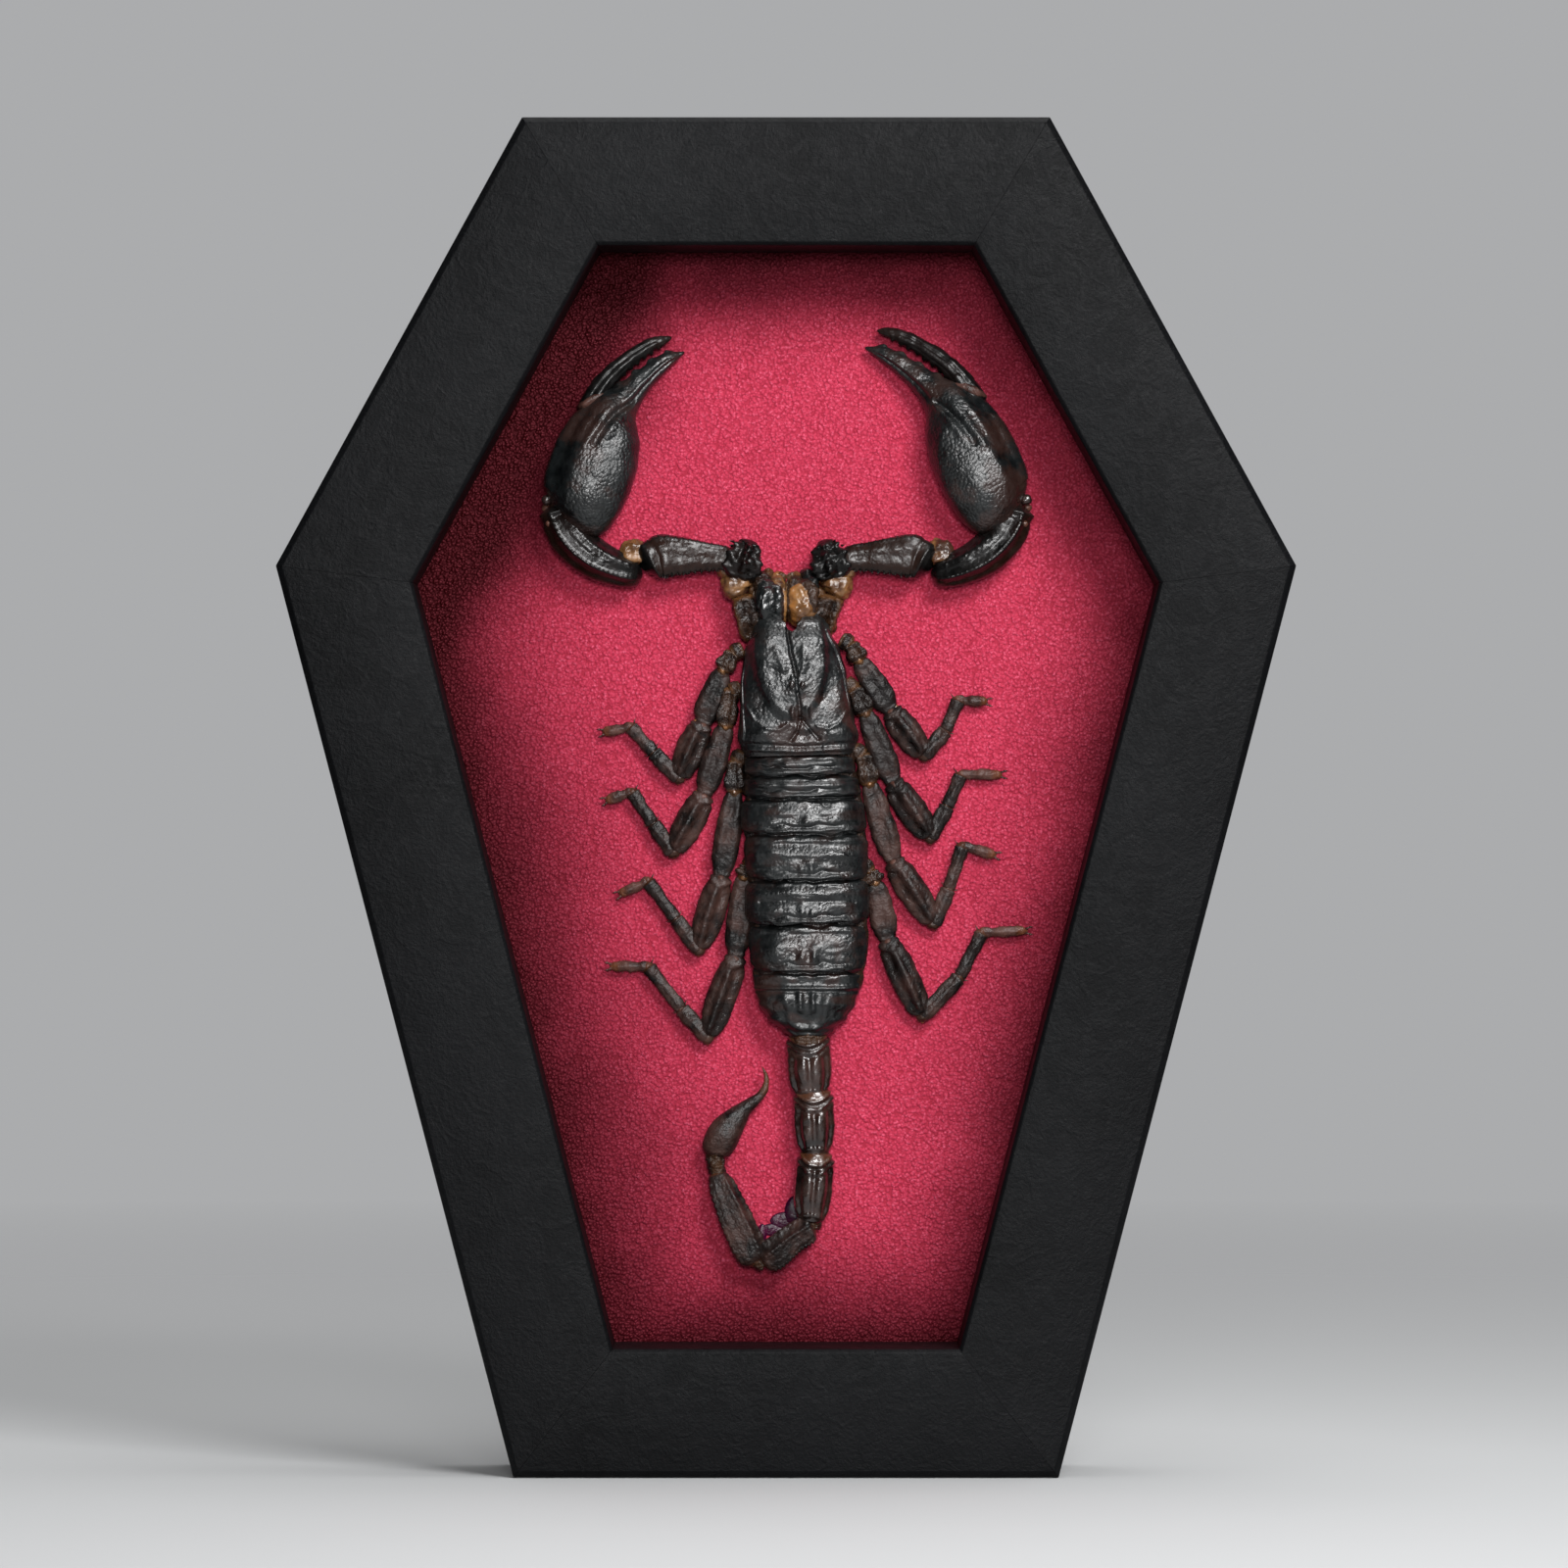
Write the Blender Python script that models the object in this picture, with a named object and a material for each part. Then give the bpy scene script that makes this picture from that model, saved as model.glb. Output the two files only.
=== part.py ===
"""A scorpion specimen in a coffin-shaped shadow-box frame that stands on its base rail.

Metres, +Z up. The front faces -Y, and the origin is the middle of the base.
A point on the red lining is written as (x, z) in millimetres, and a lift is a height off the lining,
towards the viewer.
"""

import math

import bmesh
import bpy
from mathutils import Matrix, Vector

MM = 0.001

# Driving sizes of the frame
HEIGHT = 185.0 * MM
SHOULDER_HEIGHT = 124.0 * MM
TOP_WIDTH = 71.8 * MM
SHOULDER_WIDTH = 138.8 * MM
BASE_WIDTH = 74.2 * MM
DEPTH = 25.0 * MM
FACE = 17.5 * MM
OUTER_CHAMFER = 0.8 * MM
INNER_CHAMFER = 0.5 * MM
GAP = 0.3 * MM

# The rebate behind the face holds the lining panel, the back board and the points
RECESS = 16.0 * MM
REBATE = 6.0 * MM
LINING_THICKNESS = 2.5 * MM
BOARD_THICKNESS = 3.0 * MM
POINT_WIDTH = 8.4 * MM
POINT_THICKNESS = 0.6 * MM
POINT_IN_RAIL = 3.7 * MM
POINT_OVER_BOARD = 5.0 * MM

FRONT_Y = -DEPTH / 2
BACK_Y = DEPTH / 2
REBATE_Y = FRONT_Y + RECESS
LINING_Y = REBATE_Y + GAP
BOARD_Y = LINING_Y + LINING_THICKNESS + GAP
POINT_Y = BOARD_Y + BOARD_THICKNESS + GAP

# The scorpion's trunk: (x, z, half width, height) from the carapace's front edge to the last plate
CARAPACE = [
    (0.7, 117.2, 4.4, 4.6),
    (0.8, 115.4, 5.3, 6.0),
    (1.0, 112.8, 6.3, 7.0),
    (1.3, 107.9, 7.2, 7.7),
    (1.6, 101.6, 8.2, 7.9),
    (1.8, 98.8, 7.8, 7.7),
]
# Each back plate: (x, front z, rear z, front half width, rear half width, height)
BACK_PLATES = [
    (1.9, 98.4, 95.8, 7.4, 7.7, 7.6),
    (2.2, 95.4, 92.8, 7.6, 8.0, 7.8),
    (2.5, 92.4, 87.9, 8.2, 8.6, 8.0),
    (2.9, 87.5, 81.3, 8.1, 8.4, 8.1),
    (3.1, 80.9, 75.3, 8.1, 8.4, 8.0),
    (3.2, 74.9, 68.7, 7.7, 8.0, 7.6),
]
PLATE_FRONT_HEIGHT = 0.91
LAST_PLATE = [
    (3.2, 68.3, 7.1, 6.7),
    (3.2, 66.4, 7.1, 6.9),
    (3.1, 63.2, 5.8, 6.6),
    (3.0, 61.0, 4.1, 5.9),
    (3.0, 59.6, 2.6, 5.0),
]
# Half of the trunk's section, from the top of the back to the middle of the belly:
# (share of the half width, share of the height). The plates overhang the belly, where the legs tuck in.
TRUNK_SECTION = [
    (0.0, 1.0),
    (0.36, 0.97),
    (0.68, 0.84),
    (0.9, 0.6),
    (1.0, 0.36),
    (0.93, 0.2),
    (0.72, 0.02),
    (0.36, 0.0),
    (0.0, 0.0),
]
LOBE_REACH = 0.9 * MM
NOTCH_DEPTH = 1.6 * MM
FURROW_DEPTH = 0.6 * MM
TRUNK_LIFT = 0.3

# Where a limb is widest along a segment: (share of its length, share of its girth)
LEG_PROFILE = [(-0.03, 0.5), (0.18, 0.92), (0.75, 1.0), (1.03, 0.5)]
TAIL_PROFILE = [(0.0, 0.72), (0.1, 0.9), (0.5, 0.96), (0.86, 1.0), (1.0, 0.8)]
# Half widths of a leg's coxa, trochanter, femur, patella, tibia, metatarsus and tarsus
LEG_GIRTHS = [1.1, 1.2, 1.4, 1.85, 1.05, 1.0, 0.8]
LEG_FLATNESS = 0.8
LEG_LIFT = 0.5
LEG_SIDES = 8

# Each leg's joints from its root under the carapace to the tip of its foot
LEGS = {
    "leg_left_1": [(-6.0, 112.9), (-7.4, 112.2), (-8.7, 109.9), (-11.6, 102.5), (-14.8, 95.1),
                   (-18.3, 98.7), (-21.4, 102.2), (-25.3, 101.4)],
    "leg_left_2": [(-6.2, 107.5), (-7.6, 106.9), (-8.3, 102.2), (-11.3, 92.7), (-15.5, 84.9),
                   (-18.3, 88.9), (-21.2, 93.2), (-24.9, 92.0)],
    "leg_left_3": [(-5.9, 98.6), (-6.9, 97.2), (-7.1, 93.2), (-8.9, 81.4), (-12.0, 71.5),
                   (-15.2, 75.8), (-19.0, 80.9), (-23.0, 79.1)],
    "leg_left_4": [(-4.2, 84.2), (-5.2, 82.9), (-5.8, 81.5), (-6.9, 70.4), (-10.8, 59.4),
                   (-14.4, 63.4), (-19.0, 69.2), (-24.3, 69.2)],
    "leg_right_1": [(7.6, 114.2), (9.0, 113.4), (10.1, 111.2), (14.5, 104.3), (19.0, 98.2),
                    (22.0, 101.7), (23.7, 105.9), (27.8, 105.6)],
    "leg_right_2": [(8.2, 108.4), (9.4, 107.2), (11.0, 104.0), (14.8, 94.4), (19.9, 86.9),
                    (22.2, 91.3), (24.1, 95.6), (29.8, 95.6)],
    "leg_right_3": [(9.3, 99.2), (10.6, 98.1), (11.5, 94.3), (14.8, 83.6), (20.3, 75.1),
                    (22.4, 79.9), (24.3, 85.8), (29.0, 84.5)],
    "leg_right_4": [(10.4, 83.4), (11.6, 82.1), (12.3, 80.7), (14.0, 72.7), (18.8, 62.4),
                    (23.9, 67.8), (27.0, 73.9), (33.3, 74.1)],
}

# The tail's hard segments: (front joint, rear joint, half width, half height)
TAIL_SEGMENTS = [
    ((3.0, 60.4), (3.4, 51.8), 2.95, 2.6),
    ((3.6, 51.3), (4.0, 43.5), 2.65, 2.4),
    ((4.1, 43.0), (3.3, 34.6), 2.5, 2.4),
    ((3.5, 33.8), (-2.9, 28.5), 2.0, 2.3),
    ((-4.2, 28.9), (-9.6, 41.4), 2.0, 2.2),
]
TAIL_LIFT = 0.4
TAIL_SIDES = 10
TAIL_NECK = 0.62
# The venom bulb and the sting: (x, z, half width, half height)
STING = [
    (-9.9, 42.3, 1.1, 1.2),
    (-9.6, 43.8, 1.9, 1.8),
    (-8.6, 45.9, 2.25, 2.2),
    (-7.2, 48.0, 1.75, 1.8),
    (-5.4, 49.9, 1.0, 1.15),
    (-3.7, 51.3, 0.62, 0.75),
    (-2.75, 52.6, 0.42, 0.5),
    (-2.65, 54.0, 0.26, 0.32),
    (-3.3, 55.5, 0.06, 0.1),
]

# Both arms, measured outwards from the head's middle line: (distance, z, half width, half height)
HEAD_X = 0.1
ARM_COXA = [(5.2, 115.0, 1.3, 1.4), (5.4, 117.2, 1.7, 1.9), (5.8, 120.4, 1.8, 2.0), (6.1, 122.3, 1.5, 1.6)]
ARM_TROCHANTER = [
    (6.2, 121.4, 1.2, 1.4),
    (6.2, 122.6, 2.1, 2.2),
    (6.0, 125.2, 2.6, 2.5),
    (5.9, 127.2, 2.0, 2.0),
    (5.8, 128.4, 1.0, 1.0),
]
ARM_FEMUR = [
    (7.3, 125.1, 1.2, 1.4),
    (8.4, 125.2, 1.9, 2.0),
    (12.2, 125.3, 2.4, 2.3),
    (16.8, 125.2, 3.1, 2.6),
    (19.0, 124.8, 2.6, 2.4),
    (20.4, 124.4, 1.5, 1.7),
]
ARM_PATELLA = [
    (19.9, 124.2, 1.2, 1.4),
    (21.0, 124.3, 2.1, 2.1),
    (23.4, 124.8, 2.6, 2.5),
    (26.9, 126.3, 3.0, 2.9),
    (29.9, 128.8, 2.8, 3.0),
    (31.2, 131.4, 2.2, 2.5),
    (31.3, 132.9, 1.3, 1.6),
]
# Each hand: (base, tip of its fixed finger)
HANDS = {"left": ((-29.4, 130.3), (-13.8, 153.6)), "right": ((30.0, 130.9), (10.7, 154.2))}
HAND_LENGTH = 28.2
# A hand in its own frame: (along, outwards, half width, half height)
HAND = [
    (-1.3, 1.0, 1.9, 1.6),
    (-0.3, 0.8, 3.5, 2.7),
    (2.2, 0.6, 5.2, 3.9),
    (7.0, 1.6, 6.0, 4.3),
    (12.4, 2.9, 5.4, 4.0),
    (16.0, 3.6, 3.7, 3.0),
    (18.4, 3.4, 2.1, 2.2),
    (21.9, 2.9, 1.35, 1.6),
    (25.9, 1.7, 0.85, 1.0),
    (28.4, 0.2, 0.2, 0.3),
]
FREE_FINGER = [
    (11.0, 6.9, 1.1, 1.6),
    (14.0, 7.4, 1.35, 1.8),
    (19.0, 7.2, 1.15, 1.5),
    (23.5, 6.1, 0.95, 1.2),
    (27.0, 4.5, 0.62, 0.8),
    (29.3, 2.5, 0.2, 0.3),
]
ARM_LIFT = 0.4
ARM_SIDES = 12

# The jaws in front of the carapace: (distance, z, half width, half height)
JAW = [
    (2.1, 116.2, 1.3, 1.4),
    (2.1, 118.0, 1.8, 1.8),
    (2.1, 121.0, 1.9, 1.9),
    (2.05, 123.2, 1.6, 1.6),
    (1.9, 124.6, 0.8, 0.9),
]
JAW_LIFT = 0.8
JAW_SIDES = 10

# Colours, roughness and metallic value of each finish
FINISHES = {
    "black_paint": ((0.02, 0.02, 0.022), 0.6, 0.0),
    "red_leatherette": ((0.42, 0.03, 0.06), 0.5, 0.0),
    "board_brown": ((0.12, 0.07, 0.04), 0.85, 0.0),
    "steel": ((0.55, 0.55, 0.56), 0.35, 1.0),
    "cuticle_black": ((0.012, 0.013, 0.014), 0.3, 0.0),
    "cuticle_brown": ((0.035, 0.024, 0.02), 0.4, 0.0),
}


def finish(name):
    """The material of that name, made the first time it is asked for."""
    material = bpy.data.materials.get(name)
    if material is None:
        colour, roughness, metallic = FINISHES[name]
        material = bpy.data.materials.new(name)
        material.use_nodes = True
        shader = material.node_tree.nodes["Principled BSDF"]
        shader.inputs["Base Color"].default_value = (*colour, 1.0)
        shader.inputs["Roughness"].default_value = roughness
        shader.inputs["Metallic"].default_value = metallic
    return material


def make_object(name, shape, finish_name=None):
    """A named object of a bmesh, which is freed. Without a finish it is a helper that isn't rendered."""
    mesh = bpy.data.meshes.new(name)
    shape.to_mesh(mesh)
    shape.free()
    made = bpy.data.objects.new(name, mesh)
    bpy.context.scene.collection.objects.link(made)
    if finish_name is None:
        made.hide_render = True
        made.display_type = "WIRE"
    else:
        mesh.materials.append(finish(finish_name))
    return made


def combine(target, tools, operation):
    """Joins the tools to the target, or cuts them from it, and keeps the result as the target's mesh."""
    for tool in tools:
        boolean = target.modifiers.new(operation.lower(), "BOOLEAN")
        boolean.operation = operation
        boolean.solver = "EXACT"
        boolean.object = tool
    graph = bpy.context.evaluated_depsgraph_get()
    old = target.data
    target.data = bpy.data.meshes.new_from_object(target.evaluated_get(graph))
    target.modifiers.clear()
    target.data.name = old.name
    bpy.data.meshes.remove(old)


def discard(helpers):
    """Removes helpers that have done their cut or join."""
    for helper in helpers:
        bpy.data.meshes.remove(helper.data)


def smooth(made, degrees):
    """Shades a piece smooth, apart from edges sharper than this."""
    made.data.shade_smooth()
    made.data.set_sharp_from_angle(angle=math.radians(degrees))


def loft(rings):
    """A closed bmesh skinned over rings that all have the same number of points."""
    shape = bmesh.new()
    caps = [shape.faces.new([shape.verts.new(point) for point in rings[0]])]
    for ring in rings[1:]:
        grown = bmesh.ops.extrude_face_region(shape, geom=[caps[-1]])["geom"]
        caps.append(next(part for part in grown if isinstance(part, bmesh.types.BMFace)))
        for vertex, point in zip(caps[-1].verts, ring):
            vertex.co = point
    for inside in caps[1:-1]:
        shape.faces.remove(inside)
    bmesh.ops.recalc_face_normals(shape, faces=shape.faces)
    return shape


def on_lining(x, z, lift):
    """The point at (x, z) millimetres that stands this many millimetres off the lining."""
    return Vector((x * MM, LINING_Y - lift * MM, z * MM))


# Frame


def frame_corners():
    """The six outer corners, anticlockwise from the base's left, as (x, z)."""
    return [
        Vector((-BASE_WIDTH / 2, 0)),
        Vector((BASE_WIDTH / 2, 0)),
        Vector((SHOULDER_WIDTH / 2, SHOULDER_HEIGHT)),
        Vector((TOP_WIDTH / 2, HEIGHT)),
        Vector((-TOP_WIDTH / 2, HEIGHT)),
        Vector((-SHOULDER_WIDTH / 2, SHOULDER_HEIGHT)),
    ]


def inset(corners, distance):
    """The corners of the outline that lies this far inside."""
    moved = []
    for index, corner in enumerate(corners):
        before = (corner - corners[index - 1]).normalized()
        after = (corners[(index + 1) % len(corners)] - corner).normalized()
        bisector = (after - before).normalized()
        sine = abs(after.x * bisector.y - after.y * bisector.x)
        moved.append(corner + bisector * distance / sine)
    return moved


def rail_section():
    """The rail's section as (distance inwards from the outer edge, y)."""
    return [
        (0, FRONT_Y + OUTER_CHAMFER),
        (OUTER_CHAMFER, FRONT_Y),
        (FACE - INNER_CHAMFER, FRONT_Y),
        (FACE, FRONT_Y + INNER_CHAMFER),
        (FACE, REBATE_Y),
        (FACE - REBATE, REBATE_Y),
        (FACE - REBATE, BACK_Y),
        (0, BACK_Y),
    ]


def mitre_ring(outer, inner, along):
    """The rail's section laid on the mitre from the outer to the inner corner, half a gap back from it."""
    mitre = (inner - outer).normalized()
    back = GAP / 2 / abs(along.x * mitre.y - along.y * mitre.x)
    ring = []
    for distance, y in rail_section():
        spot = outer + (inner - outer) * (distance / FACE) + along * back
        ring.append(Vector((spot.x, y, spot.y)))
    return ring


def slab(centre, along, size):
    """A block centred on a point: its size is (along the rail, inwards, through the frame)."""
    shape = bmesh.new()
    inwards = Vector((-along.z, 0, along.x))
    axes = Matrix((along, inwards, Vector((0, 1, 0)))).transposed().to_4x4()
    matrix = Matrix.Translation(centre) @ axes @ Matrix.Diagonal((*size, 1))
    bmesh.ops.create_cube(shape, size=1, matrix=matrix)
    bmesh.ops.recalc_face_normals(shape, faces=shape.faces)
    return shape


def make_rail_and_point(name, outer, inner):
    """A mitred rail between two corners, and the steel point that is pushed into its rebate's wall."""
    flat = (outer[1] - outer[0]).normalized()
    rail = make_object(
        f"rail_{name}",
        loft([mitre_ring(outer[0], inner[0], flat), mitre_ring(outer[1], inner[1], -flat)]),
        "black_paint",
    )
    along = Vector((flat.x, 0, flat.y))
    inwards = Vector((-flat.y, 0, flat.x))
    middle = (outer[0] + outer[1]) / 2
    wall = Vector((middle.x, POINT_Y + POINT_THICKNESS / 2, middle.y)) + inwards * (FACE - REBATE)
    slot_depth = POINT_IN_RAIL + GAP
    slot_reach = slot_depth + REBATE / 2
    slot_size = (POINT_WIDTH + 2 * GAP, slot_reach, POINT_THICKNESS + 2 * GAP)
    slot = make_object("slot", slab(wall + inwards * (slot_reach / 2 - slot_depth), along, slot_size))
    combine(rail, [slot], "DIFFERENCE")
    discard([slot])
    reach = POINT_IN_RAIL + POINT_OVER_BOARD
    point_centre = wall + inwards * (reach / 2 - POINT_IN_RAIL)
    point = slab(point_centre, along, (POINT_WIDTH, reach, POINT_THICKNESS))
    make_object(f"point_{name}", point, "steel")


def make_panel(name, front_y, thickness, finish_name):
    """A flat panel that drops into the rebate."""
    outline = inset(frame_corners(), FACE - REBATE + GAP)
    rings = [[Vector((c.x, y, c.y)) for c in outline] for y in (front_y, front_y + thickness)]
    make_object(name, loft(rings), finish_name)


def make_frame():
    """The six rails with their points, the red lining panel and the back board."""
    outer = frame_corners()
    inner = inset(outer, FACE)
    sides = ["bottom", "lower_right", "upper_right", "top", "upper_left", "lower_left"]
    for index, side in enumerate(sides):
        after = (index + 1) % len(sides)
        make_rail_and_point(side, (outer[index], outer[after]), (inner[index], inner[after]))
    make_panel("lining_panel", LINING_Y, LINING_THICKNESS, "red_leatherette")
    make_panel("back_board", BOARD_Y, BOARD_THICKNESS, "board_brown")


# Scorpion


def limb_rings(stations, lift, sides):
    """Oval rings at (x, z, half width, half height), square to the line through them, with their feet at the lift."""
    rings = []
    for index, (x, z, half_width, half_height) in enumerate(stations):
        before = stations[max(index - 1, 0)]
        after = stations[min(index + 1, len(stations) - 1)]
        along = Vector((after[0] - before[0], after[1] - before[1])).normalized()
        ring = []
        for step in range(sides):
            turn = math.tau * (step + 0.5) / sides
            aside = half_width * math.cos(turn)
            rise = half_height * (1 + math.sin(turn))
            ring.append(on_lining(x - along.y * aside, z + along.x * aside, lift + rise))
        rings.append(ring)
    return rings


def segment(start, end, profile, half_width, half_height):
    """The stations of one hard segment that runs between two joints."""
    return [
        (
            start[0] + (end[0] - start[0]) * share,
            start[1] + (end[1] - start[1]) * share,
            half_width * girth,
            half_height * girth,
        )
        for share, girth in profile
    ]


def make_limb(name, segments, lift, sides, finish_name, cutters):
    """One limb: its segments joined into a solid that keeps clear of the cutters."""
    shapes = [loft(limb_rings(stations, lift, sides)) for stations in segments]
    limb = make_object(name, shapes[0], finish_name)
    others = [make_object(f"{name}_segment", shape) for shape in shapes[1:]]
    if others:
        combine(limb, others, "UNION")
        discard(others)
    combine(limb, cutters, "DIFFERENCE")
    smooth(limb, 50)
    return limb


def trunk_stations():
    """The trunk's (x, z, half width, height) from the front edge back, with a step down behind each plate."""
    stations = list(CARAPACE)
    for x, front, rear, front_width, rear_width, height in BACK_PLATES:
        stations.append((x, front, front_width, height * PLATE_FRONT_HEIGHT))
        stations.append((x, (front + rear) / 2, (front_width + rear_width) / 2, height * 0.98))
        stations.append((x, rear, rear_width, height))
    return stations + LAST_PLATE


def trunk_ring(station, is_front, furrow, margin):
    """A ring of the trunk. The front one has two lobes and a notch, and the carapace has a furrow."""
    x, z, half_width, height = station
    ring = []
    mirrored = [(-share, rise) for share, rise in TRUNK_SECTION[-2:0:-1]]
    for share, rise in TRUNK_SECTION + mirrored:
        lift = TRUNK_LIFT + height * rise + (2 * rise - 1) * margin / MM
        point = on_lining(x + share * half_width + share * margin / MM, z, lift)
        if share == 0 and rise == 1:
            point.y += furrow
        if is_front:
            point.z += LOBE_REACH * math.sin(math.pi * abs(share)) - NOTCH_DEPTH * (1 - abs(share)) ** 3
        ring.append(point)
    return ring


def trunk_shape(margin):
    """The trunk as a bmesh, or its clearance if there is a margin."""
    stations = trunk_stations()
    rings = []
    for index, station in enumerate(stations):
        furrow = FURROW_DEPTH if index < len(CARAPACE) - 1 else 0
        rings.append(trunk_ring(station, index == 0, furrow, margin))
    for point in rings[0]:
        point.z += 2 * margin
    for point in rings[-1]:
        point.z -= margin
    return loft(rings)


def arm_segments(side):
    """The stations of an arm's segments on the left or the right."""
    outwards = -1 if side == "left" else 1
    parts = []
    for stations in (ARM_COXA, ARM_TROCHANTER, ARM_FEMUR, ARM_PATELLA):
        parts.append([(HEAD_X + outwards * out, z, width, height) for out, z, width, height in stations])
    base, tip = (Vector(point) for point in HANDS[side])
    along = (tip - base) / HAND_LENGTH
    aside = Vector((along.y, -along.x)) * outwards
    for stations in (HAND, FREE_FINGER):
        placed = []
        for forward, out, width, height in stations:
            spot = base + along * forward + aside * out
            placed.append((spot.x, spot.y, width, height))
        parts.append(placed)
    return parts


def tail_segments():
    """The stations of the tail's segments, of the necks between them, and of the sting."""
    parts = [segment(start, end, TAIL_PROFILE, width, height) for start, end, width, height in TAIL_SEGMENTS]
    ends = [STING[0]] + [part[0] for part in reversed(parts[1:])]
    for part, after in zip(list(reversed(parts)), ends):
        neck_start = part[-2]
        parts.append([
            (neck_start[0], neck_start[1], neck_start[2] * TAIL_NECK, neck_start[3] * TAIL_NECK),
            (after[0], after[1], after[2] * TAIL_NECK, after[3] * TAIL_NECK),
        ])
    return parts + [STING]


def leg_segments(joints):
    """The stations of a leg's segments from its root to its foot."""
    return [
        segment(start, end, LEG_PROFILE, girth, girth * LEG_FLATNESS)
        for start, end, girth in zip(joints, joints[1:], LEG_GIRTHS)
    ]


def make_scorpion():
    """The trunk, and the limbs that grow from it, each a gap away."""
    trunk = make_object("scorpion_trunk", trunk_shape(0), "cuticle_black")
    smooth(trunk, 40)
    clearance = make_object("trunk_clearance", trunk_shape(GAP))
    for side, outwards in (("left", -1), ("right", 1)):
        jaw = [(HEAD_X + outwards * out, z, width, height) for out, z, width, height in JAW]
        make_limb(f"scorpion_jaw_{side}", [jaw], JAW_LIFT, JAW_SIDES, "cuticle_brown", [clearance])
        arm = arm_segments(side)
        make_limb(f"scorpion_pincer_{side}", arm, ARM_LIFT, ARM_SIDES, "cuticle_black", [clearance])
    make_limb("scorpion_tail", tail_segments(), TAIL_LIFT, TAIL_SIDES, "cuticle_black", [clearance])
    for name, joints in LEGS.items():
        leg = leg_segments(joints)
        make_limb(f"scorpion_{name}", leg, LEG_LIFT, LEG_SIDES, "cuticle_brown", [clearance])
    discard([clearance])


def main():
    """Clears the scene and builds the frame and the scorpion."""
    for old in list(bpy.data.objects):
        bpy.data.objects.remove(old)
    make_frame()
    make_scorpion()


main()
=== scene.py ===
"""The looks of a black scorpion specimen in a coffin-shaped shadow-box frame.

Metres, +Z up, with the front facing -Y. The animal's own sizes are in millimetres. A point on the red
lining is (x, z), and a lift is a height off the lining, towards the viewer. Across a limb, an angle of
90 degrees is the side that faces the viewer.
"""

import logging
import math
import random
from bisect import bisect_right
from collections.abc import Callable, Sequence
from dataclasses import dataclass, replace
from enum import Enum

import bmesh
import bpy
from mathutils import Matrix, Vector, noise


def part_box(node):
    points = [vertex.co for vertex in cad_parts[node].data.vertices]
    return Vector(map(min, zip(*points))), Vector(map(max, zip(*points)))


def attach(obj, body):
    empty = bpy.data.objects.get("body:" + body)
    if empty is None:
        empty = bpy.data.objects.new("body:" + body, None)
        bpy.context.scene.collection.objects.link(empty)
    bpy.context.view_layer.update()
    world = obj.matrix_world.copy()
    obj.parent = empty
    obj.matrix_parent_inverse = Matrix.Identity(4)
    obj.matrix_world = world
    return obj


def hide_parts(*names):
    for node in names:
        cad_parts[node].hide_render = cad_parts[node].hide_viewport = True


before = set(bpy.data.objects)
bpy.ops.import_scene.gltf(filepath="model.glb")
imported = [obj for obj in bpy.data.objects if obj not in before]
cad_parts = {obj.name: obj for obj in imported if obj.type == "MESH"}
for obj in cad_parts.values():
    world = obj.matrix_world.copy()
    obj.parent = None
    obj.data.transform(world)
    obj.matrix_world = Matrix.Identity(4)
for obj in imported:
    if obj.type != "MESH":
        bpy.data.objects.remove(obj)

LOG = logging.getLogger("specimen")
MM = 0.001
ROOT = "root"
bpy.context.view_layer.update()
LINING_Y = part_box("lining_panel")[0].y

Colour = tuple[float, float, float]
Point = tuple[float, float]
Place = tuple[float, float, float]
Socket = bpy.types.NodeSocket
Value = float | tuple | Vector | Socket
Rows = Sequence[tuple[float, float, float, float, float]]


def on_lining(x: float, z: float, lift: float) -> Vector:
    """The point at (x, z) that stands a lift off the lining, all in millimetres, as metres."""
    return Vector((x * MM, LINING_Y - lift * MM, z * MM))


def beside(along: Vector, edge: float = 1.0) -> Vector:
    """The direction to the right of another in the lining's plane, or to its left for an edge of -1."""
    return Vector((along.y, -along.x)) * edge


def outwards(across: Vector, degrees: float) -> Vector:
    """The direction out of a limb at an angle round it, where across is its angle of 0."""
    turn = math.radians(degrees)
    return Vector((across.x * math.cos(turn), -math.sin(turn), across.y * math.cos(turn)))


def smoothstep(low: float, high: float, value: float) -> float:
    """A soft step from 0 at low to 1 at high."""
    share = min(max((value - low) / (high - low), 0.0), 1.0)
    return share * share * (3.0 - 2.0 * share)


def bell(distance: float, width: float) -> float:
    """A soft bump that is 1 at no distance and has faded at about twice the width."""
    return math.exp(-((distance / width) ** 2))


# Node trees

SHADER_INPUTS = {
    "colour": "Base Color", "rough": "Roughness", "metallic": "Metallic", "normal": "Normal",
    "alpha": "Alpha", "specular": "Specular IOR Level", "tint": "Specular Tint", "coat": "Coat Weight",
    "coat_rough": "Coat Roughness"}


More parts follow.
